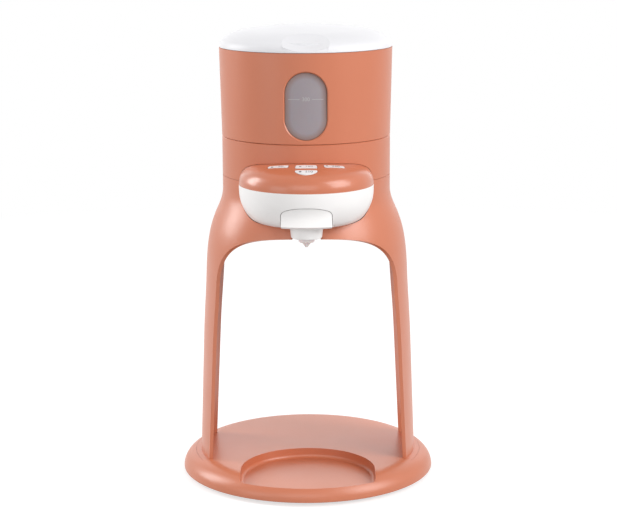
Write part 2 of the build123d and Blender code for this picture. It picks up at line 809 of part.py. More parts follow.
with BuildPart() as underside_cover:    # closes the bell from below and carries the works
    with BuildSketch(Plane.XY.offset(chassis_bottom_z)):
        Circle(chassis_radius)
        with Locations((0, spout_y)):
            Circle(spout_niche_radius + wall + seam_gap, mode=Mode.SUBTRACT)
        with Locations((0, heater_y)):
            with GridLocations(0, vent_pitch, 1, vent_count):
                SlotOverall(vent_length, vent_width, mode=Mode.SUBTRACT)
    extrude(amount=chassis_thickness)
    with Locations(*[Rot(0, 0, angle) * Pos(chassis_screw_circle, 0, chassis_bottom_z) * Rot(180, 0, 0)
                     for angle in chassis_screw_angles]):
        CounterBoreHole(screw_radius + screw_clearance, screw_head_radius + part_gap, screw_head_recess,
                        depth=chassis_thickness)
finish(underside_cover, "underside_cover")

with BuildPart() as underside_screws:
    for angle in chassis_screw_angles:
        spot = (Rot(0, 0, angle) * Pos(chassis_screw_circle, 0, 0)).position
        shank_and_head(spot.X, spot.Y, chassis_bottom_z + seam_gap, chassis_bottom_z + screw_head_recess,
                       chassis_top_z + chassis_screw_bite, screw_radius, screw_head_radius)
finish(underside_screws, "underside_screws")

# ================================================================ housing ring and dock
with BuildPart() as housing_ring:
    with BuildSketch(Plane.XZ):
        with BuildLine():
            Polyline(
                (body_radius, ring_bottom_z),
                (body_radius, ring_top_z),
                (ring_inner, ring_top_z),
                (ring_inner, deck_top_z),
                (well_radius, deck_top_z),
                (well_radius, well_floor_z),
                (0, well_floor_z),
                (0, well_floor_z - well_wall),
                (well_radius + well_wall, well_floor_z - well_wall),
                (well_radius + well_wall, deck_bottom_z),
                (ring_inner, deck_bottom_z),
                (ring_inner, ring_bottom_z + 2 * wall),
                (ring_inner - wall, ring_bottom_z + wall),
                (ring_inner - wall, frame_top_z - ring_tongue),
                (body_radius - leg_wall - seat_clearance, frame_top_z - ring_tongue),
                (body_radius - leg_wall - seat_clearance, ring_bottom_z),
                (body_radius, ring_bottom_z),
            )
        make_face()
    revolve(axis=Axis.Z)
    rims = housing_ring.edges().filter_by(GeomType.CIRCLE).filter_by(lambda e: e.radius > body_radius - 0.01)
    chamfer(rims.sort_by(Axis.Z)[-1], ring_chamfer)
    add(head_space.part, mode=Mode.SUBTRACT)
    for angle in ring_screw_angles:
        with Locations(Rot(0, 0, angle)):
            with Locations((ring_screw_circle, 0, lug_top_z)):
                Cylinder(ring_boss_radius, deck_bottom_z - lug_top_z,
                         align=UPRIGHT)
                Cylinder(screw_radius + thread_clearance, 2 * (ring_screw_tip_z + leg_wall - lug_top_z),
                         mode=Mode.SUBTRACT)
    # hole for the dock stem, and the flat seat and hole of the cord gland at the back
    Cylinder(dock_stem_radius + valve_fit, 3 * ring_top_z, mode=Mode.SUBTRACT)
    with BuildSketch(Plane.XZ.offset(-gland_seat_y)):
        with Locations((0, gland_z)):
            Circle(gland_flange + seam_gap)
    extrude(amount=-wall * 4, mode=Mode.SUBTRACT)
    with BuildSketch(Plane.XZ.offset(-gland_seat_y)):
        with Locations((0, gland_z)):
            Circle(gland_radius + seat_clearance)
    extrude(amount=wall * 3, mode=Mode.SUBTRACT)
finish(housing_ring, "housing_ring")

with BuildPart() as housing_screws:
    for angle in ring_screw_angles:
        spot = (Rot(0, 0, angle) * Pos(ring_screw_circle, 0, 0)).position
        seat_z = lug_top_z - lug_thickness
        shank_and_head(spot.X, spot.Y, seat_z - screw_head_height, seat_z,
                       ring_screw_tip_z, screw_radius, screw_head_radius)
finish(housing_screws, "housing_screws")

with BuildPart() as cord_gland:
    with BuildSketch(Plane.XZ.offset(-gland_seat_y)):
        with Locations((0, gland_z)):
            Circle(gland_flange)
    extrude(amount=-gland_flange_thickness)
    chamfer(cord_gland.edges().filter_by(GeomType.CIRCLE).sort_by(Axis.Y)[-1], gland_chamfer)
    with BuildSketch(Plane.XZ.offset(-gland_seat_y)):
        with Locations((0, gland_z)):
            Circle(gland_radius)
    extrude(amount=gland_length)
    with BuildSketch(Plane.XZ.offset(-gland_seat_y - wall * 4)):
        with Locations((0, gland_z)):
            Circle(gland_bore)
    extrude(amount=wall * 10, mode=Mode.SUBTRACT)
finish(cord_gland, "cord_gland")

with BuildPart() as gland_nut:
    with BuildSketch(Plane.XZ.offset(-gland_nut_y)):
        with Locations((0, gland_z)):
            RegularPolygon(gland_radius + gland_nut_grip, 6)
            Circle(gland_radius + thread_clearance, mode=Mode.SUBTRACT)
    extrude(amount=gland_nut_height)
finish(gland_nut, "gland_nut")

with BuildPart() as dock_stem:
    post(0, 0, well_floor_z - dock_stem_reach, dock_stem_top_z, dock_stem_radius)
    post(0, 0, well_floor_z, well_floor_z + dock_flange_height, dock_flange_radius)
    Cylinder(dock_stem_radius - dock_stem_wall, 3 * ring_top_z, mode=Mode.SUBTRACT)
    with Locations((0, 0, dock_stem_top_z)):        # side slots that let water in under the valve
        Box(2 * well_radius, dock_slot, 3 * dock_slot, mode=Mode.SUBTRACT)
finish(dock_stem, "dock_stem")

with BuildPart() as dock_seal:
    with BuildSketch(Plane.XZ):
        with BuildLine():
            Polyline(
                (seal_inner_radius, well_floor_z),
                (well_radius - seam_gap, well_floor_z),
                (well_radius - seam_gap, well_floor_z + seal_height),
                (collar_radius - seal_lip, collar_bottom_z - part_gap),
                (collar_radius - 2 * seal_lip, collar_bottom_z - part_gap),
                (seal_inner_radius, well_floor_z + seal_lip),
                (seal_inner_radius, well_floor_z),
            )
        make_face()
    revolve(axis=Axis.Z)
finish(dock_seal, "dock_seal")

# ================================================================ head shells
def key_plan(name):
    """Outline of one key on the head's top, seen from above."""
    back = key_row_back_y
    near = key_row_near_y
    with BuildLine() as edge:
        if name == "key_middle":
            Polyline(
                (-key_middle_back, back),
                (key_middle_back, back),
                (key_middle_near, near),
                (-key_middle_near, near),
                (-key_middle_back, back),
            )
        elif name == "key_lower":
            left = (-key_lower_half, key_lower_back_y)
            right = (key_lower_half, key_lower_back_y)
            Line(left, right)
            ThreePointArc(right, (0, key_lower_back_y - key_lower_depth), left)
        else:
            side = -1 if name == "key_left" else 1
            Polyline(
                (side * key_side_inner, back + key_inner_back),
                (side * key_side_outer, back + key_outer_back),
                (side * (key_side_outer + key_outer_slant), near + key_outer_near),
                (side * (key_side_inner + key_inner_slant), near + key_inner_near),
                (side * key_side_inner, back + key_inner_back),
            )
    make_face(edge.edges())


key_names = ("key_left", "key_middle", "key_lower", "key_right")

with BuildPart() as head_cover:
    with BuildSketch(head_plane):
        with BuildLine():
            dome_line(0)
            dome_line(head_wall)
            Line((head_radius - head_wall, head_split_z), (head_radius, head_split_z))
            Line((0, head_crown_z - head_wall), (0, head_crown_z))
        make_face()
    revolve(axis=head_axis)
    for x in (-head_post_x, head_post_x):
        post(x, head_post_y, head_split_z, head_post_top_z, head_post_radius)
        post(x, head_post_y, head_split_z, head_post_top_z - head_wall,
             screw_radius + thread_clearance, Mode.SUBTRACT)
    for x in (-board_post_x, board_post_x):
        post(x, board_post_y, control_board_z + board_thickness, board_post_top_z, board_post_radius)
        post(x, board_post_y, control_board_z, board_post_top_z - head_wall,
             small_screw_radius + thread_clearance, Mode.SUBTRACT)
    with BuildSketch(Plane.XY.offset(control_board_z)):
        Circle(head_reach)
    extrude(amount=base_height * 2, mode=Mode.SUBTRACT)
    with BuildSketch(Plane.XY.offset(head_split_z)):
        Circle(head_reach)
    extrude(amount=base_height, mode=Mode.SUBTRACT)
    for name in key_names:
        with BuildSketch(Plane.XY.offset(key_stem_bottom_z)) as hole:
            key_plan(name)
            fillet(hole.vertices(), key_corner)
            offset(amount=key_gap)
        extrude(amount=base_height, mode=Mode.SUBTRACT)
finish(head_cover, "head_cover")


def tab_outline(grow):
    """Outline of the drawer's tab from the front: an arched top on straight sides."""
    half = tab_width / 2 + grow
    top = (0, tab_top_z + grow)
    with BuildLine() as edge:
        for side in (-1, 1):
            shoulder = (side * (tab_shoulder_x + grow / 2), tab_top_z - tab_shoulder_drop + grow)
            spring = (side * half, tab_top_z - tab_side_drop)
            Spline(top, shoulder, spring, tangents=((side, 0), (0, -1)))
        FilletPolyline(
            (-half, tab_top_z - tab_side_drop),
            (-half, tab_bottom_z - grow),
            (half, tab_bottom_z - grow),
            (half, tab_top_z - tab_side_drop),
            radius=tab_corner,
        )
    make_face(edge.edges())


with BuildPart() as bowl_block:         # the bowl as a solid block, which trims what stands in it
    with BuildSketch(head_plane):
        with BuildLine():
            bowl_line(0)
            Polyline((0, bowl_floor_z), (0, head_split_z), (head_radius, head_split_z))
        make_face()
    revolve(axis=head_axis)

with BuildPart() as bowl_fittings:      # posts for the head's screws, and the drawer's two rails
    for side in (-1, 1):
        post(side * head_post_x, head_post_y, bowl_floor_z, head_split_z - seam_gap, head_post_radius)
        with Locations((side * rail_x, rail_y, bowl_floor_z)):
            Box(rail_width, rail_length, rail_top_z - bowl_floor_z, align=UPRIGHT)
        with Locations((side * (rail_x - rail_lip / 2), rail_y, rail_top_z)):
            Box(rail_width + rail_lip, rail_length, carrier_thickness - part_gap, align=HANGING)
    add(bowl_block.part, mode=Mode.INTERSECT)

with BuildPart() as head_bowl:
    with BuildSketch(head_plane):
        with BuildLine():
            bowl_line(0)
            bowl_line(head_wall)
            Line((head_radius - head_wall, head_split_z), (head_radius, head_split_z))
            Line((0, bowl_floor_z + head_wall), (0, bowl_floor_z))
        make_face()
    revolve(axis=head_axis)
    add(bowl_fittings.part)
    for x in (-head_post_x, head_post_x):
        post(x, head_post_y, 0, head_screw_seat_z, screw_head_radius + part_gap, Mode.SUBTRACT)
        post(x, head_post_y, 0, head_split_z, screw_radius + screw_clearance, Mode.SUBTRACT)
    # the back of the head is open to the housing
    with BuildSketch():
        Circle(head_reach)
    extrude(amount=head_crown_z, mode=Mode.SUBTRACT)
    # the drawer's mouth, and the slot that its spout slides along
    with BuildSketch(Plane.XZ.offset(-mouth_back_y)):
        tab_outline(tab_gap)
    extrude(amount=base_radius, mode=Mode.SUBTRACT)
    with BuildSketch(Plane.XZ.offset(-spout_y)):
        with Locations((0, tab_bottom_z)):
            Rectangle(tab_width + 2 * tab_gap, base_height, align=(Align.CENTER, Align.MAX))
    extrude(amount=base_radius, mode=Mode.SUBTRACT)
    with BuildSketch():
        with Locations((0, spout_y)):
            Circle(spout_top_radius + 2 * part_gap)
        with Locations((0, spout_y)):
            Rectangle(2 * spout_top_radius + 4 * part_gap, base_radius, align=(Align.CENTER, Align.MAX))
    extrude(amount=tab_bottom_z - part_gap, mode=Mode.SUBTRACT)
finish(head_bowl, "head_bowl")

with BuildPart() as head_screws:
    for x in (-head_post_x, head_post_x):
        shank_and_head(x, head_post_y, head_screw_seat_z - screw_head_height, head_screw_seat_z,
                       head_post_top_z - 2 * head_wall, screw_radius, screw_head_radius)
finish(head_screws, "head_screws")

# ================================================================ touch keys and their board
for name in key_names:
    with BuildPart() as key:
        with BuildSketch(Plane.XY.offset(key_stem_bottom_z)) as cap_plan:
            key_plan(name)
            fillet(cap_plan.vertices(), key_corner)
        extrude(amount=base_height)
        with BuildSketch(head_plane):
            with BuildLine():
                dome_line(-key_proud)
                key_foot = (head_radius + key_proud, head_split_z)
                Polyline((0, head_crown_z + key_proud), (0, head_split_z), key_foot)
            make_face()
        revolve(axis=head_axis, mode=Mode.INTERSECT)
    with BuildPart() as key_flange_part:    # keeps the key from coming out of its hole
        with BuildSketch(Plane.XY.offset(key_stem_bottom_z + part_gap)) as flange_plan:
            key_plan(name)
            fillet(flange_plan.vertices(), key_corner)
            offset(amount=key_flange)
        extrude(amount=key_flange_thickness)
    with BuildPart() as key_whole:
        add(key.part)
        add(key_flange_part.part)
    finish(key_whole, name)

side_key_x = (key_side_inner + key_side_outer) / 2
row_switch_y = (key_row_back_y + key_row_near_y) / 2
side_switch_y = row_switch_y + (key_outer_back + key_inner_near) / 2
lower_switch_y = key_lower_back_y - key_lower_depth * 0.4
with BuildPart() as control_board:
    with BuildSketch(Plane.XY.offset(control_board_z)):
        with Locations((0, head_y)):
            Circle(head_radius - head_wall - board_margin)
        with Locations((0, head_post_y - head_post_radius - board_clear)):
            Rectangle(2 * head_radius, head_radius, align=(Align.CENTER, Align.MAX), mode=Mode.INTERSECT)
        with Locations((-board_post_x, board_post_y), (board_post_x, board_post_y)):
            Circle(small_screw_radius + screw_clearance, mode=Mode.SUBTRACT)
    extrude(amount=board_thickness)
    with Locations(
        (-side_key_x, side_switch_y, switch_top_z),
        (0, row_switch_y, switch_top_z),
        (side_key_x, side_switch_y, switch_top_z),
        (0, lower_switch_y, switch_top_z),
    ):
        Box(switch_size, switch_size, switch_height, align=HANGING)
finish(control_board, "control_board")

with BuildPart() as board_screws:
    for x in (-board_post_x, board_post_x):
        shank_and_head(x, board_post_y, control_board_z - small_screw_head_height, control_board_z,
                       board_post_top_z - 1.5 * head_wall, small_screw_radius, small_screw_head)
finish(board_screws, "board_screws")

# ================================================================ nozzle drawer
with BuildPart() as tab_part:           # a concave grip plate with a lip at its foot
    with BuildSketch(head_plane):
        with BuildLine():
            top = (bowl_waist_radius + tab_proud, tab_top_z)
            lip = (tab_lip_radius, tab_bottom_z + tab_lip_height)
            ThreePointArc(top, (bowl_waist_radius - tab_dish, (tab_top_z + tab_bottom_z) / 2), lip)
            Polyline(
                lip,
                (tab_lip_radius - tab_lip_height, tab_bottom_z),
                (tab_inner_radius, tab_bottom_z),
                (tab_inner_radius, tab_top_z),
                top,
            )
        make_face()
    revolve(axis=head_axis)
    with BuildSketch(Plane.XZ.offset(-spout_y)):
        tab_outline(0)
    extrude(amount=base_radius, mode=Mode.INTERSECT)

with BuildPart() as nozzle_drawer:
    add(tab_part.part)
    # carrier plate that slides between the rails
    with BuildSketch(Plane.XY.offset(tab_bottom_z)):
        with Locations((0, carrier_front_y)):
            Rectangle(2 * carrier_half_width, carrier_back_y - carrier_front_y, align=(Align.CENTER, Align.MIN))
    extrude(amount=carrier_thickness)
    # cup and spout, turned about the spout's axis
    with BuildSketch(spout_plane):
        with BuildLine():
            Polyline(
                (0, spout_bottom_z),
                (spout_bottom_radius, spout_bottom_z),
                (spout_top_radius, tab_bottom_z),
                (spout_top_radius, cup_top_z),
                (0, cup_top_z),
                (0, spout_bottom_z),
            )
        make_face()
    revolve(axis=spout_axis)
    fillet(nozzle_drawer.edges().filter_by(GeomType.CIRCLE).sort_by(Axis.Z)[0], spout_round)
    with BuildSketch(Plane.XY.offset(spout_floor_z)):
        with Locations((0, spout_y)):
            Circle(cup_bore)
    extrude(amount=base_height, mode=Mode.SUBTRACT)
    with Locations((0, spout_y, spout_floor_z)):
        Cylinder(nozzle_radius + screw_clearance, base_height, mode=Mode.SUBTRACT)
finish(nozzle_drawer, "nozzle_drawer")

with BuildPart() as nozzle:
    with BuildSketch(spout_plane):
        with BuildLine():
            Polyline(
                (nozzle_bore, nozzle_tip_z),
                (nozzle_tip_radius, nozzle_tip_z),
                (nozzle_cone_radius, nozzle_collar_z - nozzle_step),
                (nozzle_radius - nozzle_step, nozzle_collar_z - nozzle_step),
                (nozzle_radius, nozzle_collar_z),
                (nozzle_radius, spout_floor_z),
                (cup_bore - seam_gap, spout_floor_z),
                (cup_bore - seam_gap, spout_floor_z + nozzle_flange),
                (nozzle_radius - nozzle_wall, spout_floor_z + nozzle_flange),
                (nozzle_radius - nozzle_wall, spout_bottom_z),
                (nozzle_bore, nozzle_collar_z),
                (nozzle_bore, nozzle_tip_z),
            )
        make_face()
    revolve(axis=spout_axis)
finish(nozzle, "nozzle")

# ================================================================ tank
def stadium(grow):
    """The tank's upright window outline, from the front."""
    with Locations((0, window_z)):
        SlotOverall(window_height + 2 * grow, window_width + 2 * grow, rotation=90)


def on_hinge(start, end, radius, mode=Mode.ADD):
    """A cylinder on the hinge axis between two places along X."""
    with Locations(Pos((start + end) / 2, hinge_y, hinge_z) * Rot(0, 90, 0)):
        Cylinder(radius, end - start, mode=mode)


with BuildPart() as hinge_lugs:         # two ears that carry the hinge pin at the back
    for start, end in ((-hinge_half, -knuckle_half - hinge_gap), (knuckle_half + hinge_gap, hinge_half)):
        on_hinge(start, end, hinge_radius)
        with BuildSketch(Plane.YZ.offset(start)):
            with BuildLine():
                Polyline(
                    (shell_top_inner, hinge_z),
                    (hinge_y + hinge_radius, hinge_z),
                    (hinge_y + hinge_radius, hinge_z - ear_lip),
                    (tank_top_radius - tank_wall / 2, hinge_z - ear_foot),
                    (shell_top_inner, hinge_z - ear_foot),
                    (shell_top_inner, hinge_z),
                )
            make_face()
        extrude(amount=end - start)
    Cylinder(tank_top_radius - flange_rebate, 3 * tank_top_z, mode=Mode.SUBTRACT)

with BuildPart() as tank_shell:
    with BuildSketch(Plane.XZ):
        with BuildLine():
            Polyline(
                (body_radius, tank_bottom_z),
                (tank_top_radius, tank_top_z),
                (tank_top_radius - flange_rebate, tank_top_z),
                (tank_top_radius - flange_rebate, flange_seat_z),
                (shell_top_inner - flange_ledge, flange_seat_z),
                (shell_top_inner - flange_ledge, flange_seat_z - flange_ledge_height),
                (shell_top_inner, flange_seat_z - flange_ledge_height - 2 * flange_ledge),
                (shell_base_inner, tank_bottom_z),
                (body_radius, tank_bottom_z),
            )
        make_face()
    revolve(axis=Axis.Z)
    foot_rim = tank_shell.edges().filter_by(GeomType.CIRCLE).group_by(Axis.Z)[0].sort_by(SortBy.RADIUS)[-1]
    chamfer(foot_rim, tank_foot_chamfer)
    # window with a bevelled edge
    with BuildSketch(Plane.XZ.offset(body_radius / 2)):
        stadium(0)
    extrude(amount=body_radius, mode=Mode.SUBTRACT)
    window_edges = tank_shell.edges(Select.LAST).filter_by(
        lambda e: sqrt(e.center().X ** 2 + e.center().Y ** 2) > shell_top_inner + 0.2)
    chamfer(window_edges, window_bevel)
    add(hinge_lugs.part)
    on_hinge(-knuckle_half - hinge_gap, knuckle_half + hinge_gap, hinge_radius + hinge_gap, Mode.SUBTRACT)
    on_hinge(-base_radius, base_radius, hinge_pin_radius + pin_seat, Mode.SUBTRACT)
finish(tank_shell, "tank_shell")

with BuildPart() as window_pane:        # thickening of the reservoir that stands forward into the window
    with BuildSketch(Plane.XZ.offset(body_radius / 2)):
        stadium(-part_gap)
    extrude(amount=body_radius)
    with BuildSketch(Plane.XY.offset(tank_bottom_z - wall)):
        Circle(pane_radius)
        Circle(reservoir_radius - reservoir_wall / 3, mode=Mode.SUBTRACT)
    extrude(amount=tank_top_z - tank_bottom_z, mode=Mode.INTERSECT)

with BuildPart() as tank_reservoir:
    with BuildSketch(Plane.XZ):
        with BuildLine():
            Polyline(
                (valve_bore, tank_floor_z),
                (reservoir_radius - reservoir_wall, tank_floor_z),
                (reservoir_top_radius - reservoir_wall, flange_top_z),
                (tank_top_radius - flange_rebate - seam_gap, flange_top_z),
                (tank_top_radius - flange_rebate - seam_gap, flange_seat_z),
                (reservoir_top_radius, flange_seat_z),
                (reservoir_radius, tank_bottom_z),
                (reservoir_radius, reservoir_bottom_z),
                (collar_radius, reservoir_bottom_z),
                (collar_radius, collar_bottom_z),
                (valve_bore, collar_bottom_z),
                (valve_bore, tank_floor_z),
            )
        make_face()
    revolve(axis=Axis.Z)
    outer_foot = tank_reservoir.edges().filter_by(GeomType.CIRCLE).filter_by(
        lambda e: abs(e.radius - reservoir_radius) < 0.01).sort_by(Axis.Z)[0]
    fillet(outer_foot, reservoir_foot_round)
    add(window_pane.part)
    on_hinge(-knuckle_half - hinge_gap, knuckle_half + hinge_gap, hinge_radius + hinge_gap, Mode.SUBTRACT)
finish(tank_reservoir, "tank_reservoir")

with BuildPart() as hinge_pin:
    on_hinge(-hinge_half, hinge_half, hinge_pin_radius)
    chamfer(hinge_pin.edges().filter_by(GeomType.CIRCLE), hinge_pin_chamfer)
finish(hinge_pin, "hinge_pin")

# valve: a body in the collar, a cap that guides the plunger, and a spring that shuts it
with BuildPart() as valve_body:
    with BuildSketch(Plane.XZ):
        with BuildLine():
            Polyline(
                (valve_orifice, collar_bottom_z),
                (valve_body_radius, collar_bottom_z),
                (valve_body_radius, tank_floor_z),
                (valve_flange_radius, tank_floor_z),
                (valve_flange_radius, valve_flange_top_z),
                (valve_chamber_radius, valve_flange_top_z),
                (valve_chamber_radius, valve_seat_z),
                (valve_orifice, valve_seat_z),
                (valve_orifice, collar_bottom_z),
            )
        make_face()
    revolve(axis=Axis.Z)
finish(valve_body, "valve_body")

with BuildPart() as valve_cap:
    with BuildSketch(Plane.XY.offset(valve_flange_top_z)):
        Circle(valve_flange_radius - valve_flange_width / 2)
        Circle(valve_stem_radius + part_gap, mode=Mode.SUBTRACT)
        with PolarLocations(valve_hole_circle, 6):
            Circle(valve_hole_radius, mode=Mode.SUBTRACT)
    extrude(amount=valve_cap_thickness)
finish(valve_cap, "valve_cap")

with BuildPart() as valve_plunger:
    post(0, 0, valve_disc_z, valve_disc_z + valve_disc_thickness, valve_disc_radius)
    post(0, 0, valve_disc_z, valve_stem_top_z, valve_stem_radius)
    chamfer(valve_plunger.edges().filter_by(GeomType.CIRCLE).sort_by(Axis.Z)[-1], valve_stem_chamfer)
finish(valve_plunger, "valve_plunger")

with BuildPart() as valve_seal:
    with BuildSketch(Plane.XY.offset(valve_disc_z - valve_seal_thickness)):
        Circle(valve_disc_radius - seam_gap)
        Circle(valve_orifice + part_gap, mode=Mode.SUBTRACT)
    extrude(amount=valve_seal_thickness)
finish(valve_seal, "valve_seal")

spring_bottom_z = valve_disc_z + valve_disc_thickness + spring_wire
spring_height = valve_flange_top_z - spring_bottom_z - spring_wire
with BuildPart() as valve_spring:
    with BuildLine() as coil:
        Helix(pitch=spring_height / spring_turns, height=spring_height, radius=spring_radius,
              center=(0, 0, spring_bottom_z))
    with BuildSketch(Plane(coil.line @ 0, z_dir=coil.line % 0)):
        Circle(spring_wire)
    sweep(is_frenet=True)
finish(valve_spring, "valve_spring")

with BuildPart() as tank_filter:        # a slotted cup over the valve
    with BuildSketch(Plane.XZ):
        with BuildLine():
            Polyline(
                (filter_radius, tank_floor_z),
                (filter_radius, filter_top_z - filter_slant),
                (filter_radius - filter_slant, filter_top_z),
                (0, filter_top_z),
                (0, filter_top_z - filter_wall),
                (filter_radius - filter_slant - filter_wall / 2, filter_top_z - filter_wall),
                (filter_radius - filter_wall, filter_top_z - filter_slant - filter_wall / 2),
                (filter_radius - filter_wall, tank_floor_z),
                (filter_radius, tank_floor_z),
            )
        make_face()
    revolve(axis=Axis.Z)
    with PolarLocations(filter_radius, filter_slots):
        with Locations((0, 0, tank_floor_z + filter_height / 2)):
            Box(3 * filter_wall, filter_slot_width, filter_slot_height, mode=Mode.SUBTRACT)
    with BuildSketch(Plane.XY.offset(filter_top_z - filter_slant)):
        with PolarLocations(filter_radius / 2, filter_slots // 2):
            SlotOverall(filter_slot_height, filter_slot_width)
    extrude(amount=2 * filter_slant, mode=Mode.SUBTRACT)
finish(tank_filter, "tank_filter")


# ================================================================ lid
def lid_line(inset):
    """Right half of the lid's crown, from its lower edge to the middle."""
    crown_edge = (lid_shoulder_radius - inset * 0.1, lid_shoulder_z - inset)
    crown = (0, lid_crown_z - inset)
    Spline(
        (tank_top_radius - inset, lid_bottom_z),
        (lid_edge_radius - 0.8 * inset, lid_edge_z - 0.7 * inset),
        crown_edge,
        tangents=((0, 1), cap_slope(crown_edge, crown)),
    )
    RadiusArc(crown_edge, crown, -cap_radius(crown_edge, crown))


def tongue_strip():
    """The finger tab's strip at the front of the lid, from above; cuts the sketch down to it."""
    with Locations((0, -tongue_radius)):
        Rectangle(tongue_width, 2 * tongue_reach, mode=Mode.INTERSECT)


with BuildPart() as tongue_root:        # fills the crown from below where the tab is dished
    with BuildSketch(Plane.XY.offset(lid_bottom_z)):
        Circle(tongue_radius)
        tongue_strip()
    extrude(amount=lid_crown_z - lid_bottom_z)
    with BuildSketch(Plane.XZ):
        with BuildLine():
            lid_line(0)
            Polyline((0, lid_crown_z), (0, lid_bottom_z), (tank_top_radius, lid_bottom_z))
        make_face()
    revolve(axis=Axis.Z, mode=Mode.INTERSECT)

with BuildPart() as finger_dish:        # a slanting round hollow that a finger pulls the lid up by
    dish_front = Pos(0, -tank_top_radius, tongue_front_z) * Rot(tongue_dish_slope, 0, 0)
    with Locations(dish_front * Pos(0, 0, tongue_dish_radius) * Rot(90, 0, 0)):
        Cylinder(tongue_dish_radius, 2 * lid_shoulder_radius)

with BuildPart() as lid:
    with BuildSketch(Plane.XZ):
        with BuildLine():
            lid_line(0)
            lid_line(lid_wall)
            Line((tank_top_radius - lid_wall, lid_bottom_z), (tank_top_radius, lid_bottom_z))
            Line((0, lid_crown_z - lid_wall), (0, lid_crown_z))
        make_face()
    revolve(axis=Axis.Z)
    add(tongue_root.part)
    with BuildSketch(Plane.XY.offset(lid_bottom_z)):
        Circle(tongue_radius)
        Circle(tongue_root_radius, mode=Mode.SUBTRACT)
        tongue_strip()
    extrude(amount=lid_crown_z - lid_bottom_z)
    add(finger_dish.part, mode=Mode.SUBTRACT)
    # skirt that centres the lid in the reservoir's mouth
    with BuildSketch(Plane.XY.offset(lid_bottom_z - lid_skirt_depth)):
        Circle(skirt_radius)
        Circle(skirt_radius - lid_skirt_wall, mode=Mode.SUBTRACT)
    extrude(amount=lid_skirt_depth + lid_skirt_root)
    # hinge knuckle, and room for the tank's lugs on each side of it
    for start, end in ((-hinge_half - hinge_gap, -knuckle_half), (knuckle_half, hinge_half + hinge_gap)):
        on_hinge(start, end, hinge_radius + hinge_gap, Mode.SUBTRACT)
    on_hinge(-knuckle_half, knuckle_half, hinge_radius)
    on_hinge(-base_radius, base_radius, hinge_pin_radius + pin_clearance, Mode.SUBTRACT)
finish(lid, "lid")

# ================================================================ works inside the housing
with BuildPart() as pump:
    with Locations(Pos(pump_x, pump_y, pump_z) * Rot(90, 0, 0)):
        Cylinder(pump_radius, pump_length)
        chamfer(pump.edges().filter_by(GeomType.CIRCLE), pump_chamfer)
        Cylinder(spigot_radius, pump_length + 2 * spigot_length)
finish(pump, "pump")

with BuildPart() as pump_cradle:
    with Locations((pump_x, pump_y, chassis_top_z)):
        Box(pump_cradle_width, pump_length / 2, pump_height - pump_cradle_wrap, align=UPRIGHT)
    with Locations(Pos(pump_x, pump_y, pump_z) * Rot(90, 0, 0)):
        Cylinder(pump_radius + thread_clearance, pump_length, mode=Mode.SUBTRACT)
finish(pump_cradle, "pump_cradle")

with BuildPart() as heater_block:       # cast block with grooves along its top and two pipe ends
    with BuildSketch(Plane.XY.offset(heater_bottom_z)):
        with Locations((heater_x, heater_y)):
            RectangleRounded(heater_width, heater_length, heater_corner)
    extrude(amount=heater_block_height)
    with BuildSketch(Plane.XY.offset(heater_top_z - heater_groove_depth)):
        with Locations((heater_x, heater_y)):
            with GridLocations(heater_groove_pitch, 0, 4, 1):
                Rectangle(heater_groove_width, heater_groove_length)
    extrude(amount=2 * heater_groove_depth, mode=Mode.SUBTRACT)
    with Locations(Pos(heater_pipe_x, heater_y, water_z) * Rot(90, 0, 0)):
        Cylinder(spigot_radius, heater_length + 2 * spigot_length)
finish(heater_block, "heater_block")

bracket_front = heater_front + bracket_inset
bracket_back = heater_back - bracket_inset
bracket_step_z = chassis_top_z + bracket_strip
with BuildPart() as heater_bracket:     # folded strip that holds the block off the floor
    with BuildSketch(Plane.YZ.offset(heater_x)):
        with BuildLine():
            Polyline(
                (bracket_front, chassis_top_z),
                (bracket_front + bracket_foot, chassis_top_z),
                (bracket_front + bracket_foot, heater_bottom_z - bracket_strip),
                (bracket_back - bracket_foot, heater_bottom_z - bracket_strip),
                (bracket_back - bracket_foot, chassis_top_z),
                (bracket_back, chassis_top_z),
                (bracket_back, bracket_step_z),
                (bracket_back - bracket_foot + bracket_strip, bracket_step_z),
                (bracket_back - bracket_foot + bracket_strip, heater_bottom_z),
                (bracket_front + bracket_foot - bracket_strip, heater_bottom_z),
                (bracket_front + bracket_foot - bracket_strip, bracket_step_z),
                (bracket_front, bracket_step_z),
                (bracket_front, chassis_top_z),
            )
        make_face()
    extrude(amount=heater_width / 2 - bracket_side, both=True)
finish(heater_bracket, "heater_bracket")

sensor_x = heater_x + sensor_offset
sensor_y = heater_back - sensor_inset
with BuildPart() as temperature_sensor:
    with BuildSketch(Plane.XY.offset(heater_top_z)):
        with Locations((sensor_x, sensor_y)):
            RegularPolygon(sensor_hex, 6)
    extrude(amount=sensor_hex_height)
    post(sensor_x, sensor_y, heater_top_z, heater_top_z + sensor_stem_height, sensor_stem_radius)
finish(temperature_sensor, "temperature_sensor")

fuse_x = heater_x + fuse_inset
fuse_y = heater_front + fuse_inset
with BuildPart() as thermal_fuse:
    with Locations(Pos(fuse_x, fuse_y, heater_top_z + fuse_radius) * Rot(0, 90, 0)):
        Cylinder(fuse_radius, fuse_length)
        Cylinder(fuse_wire_radius, fuse_wire_length)
finish(thermal_fuse, "thermal_fuse")

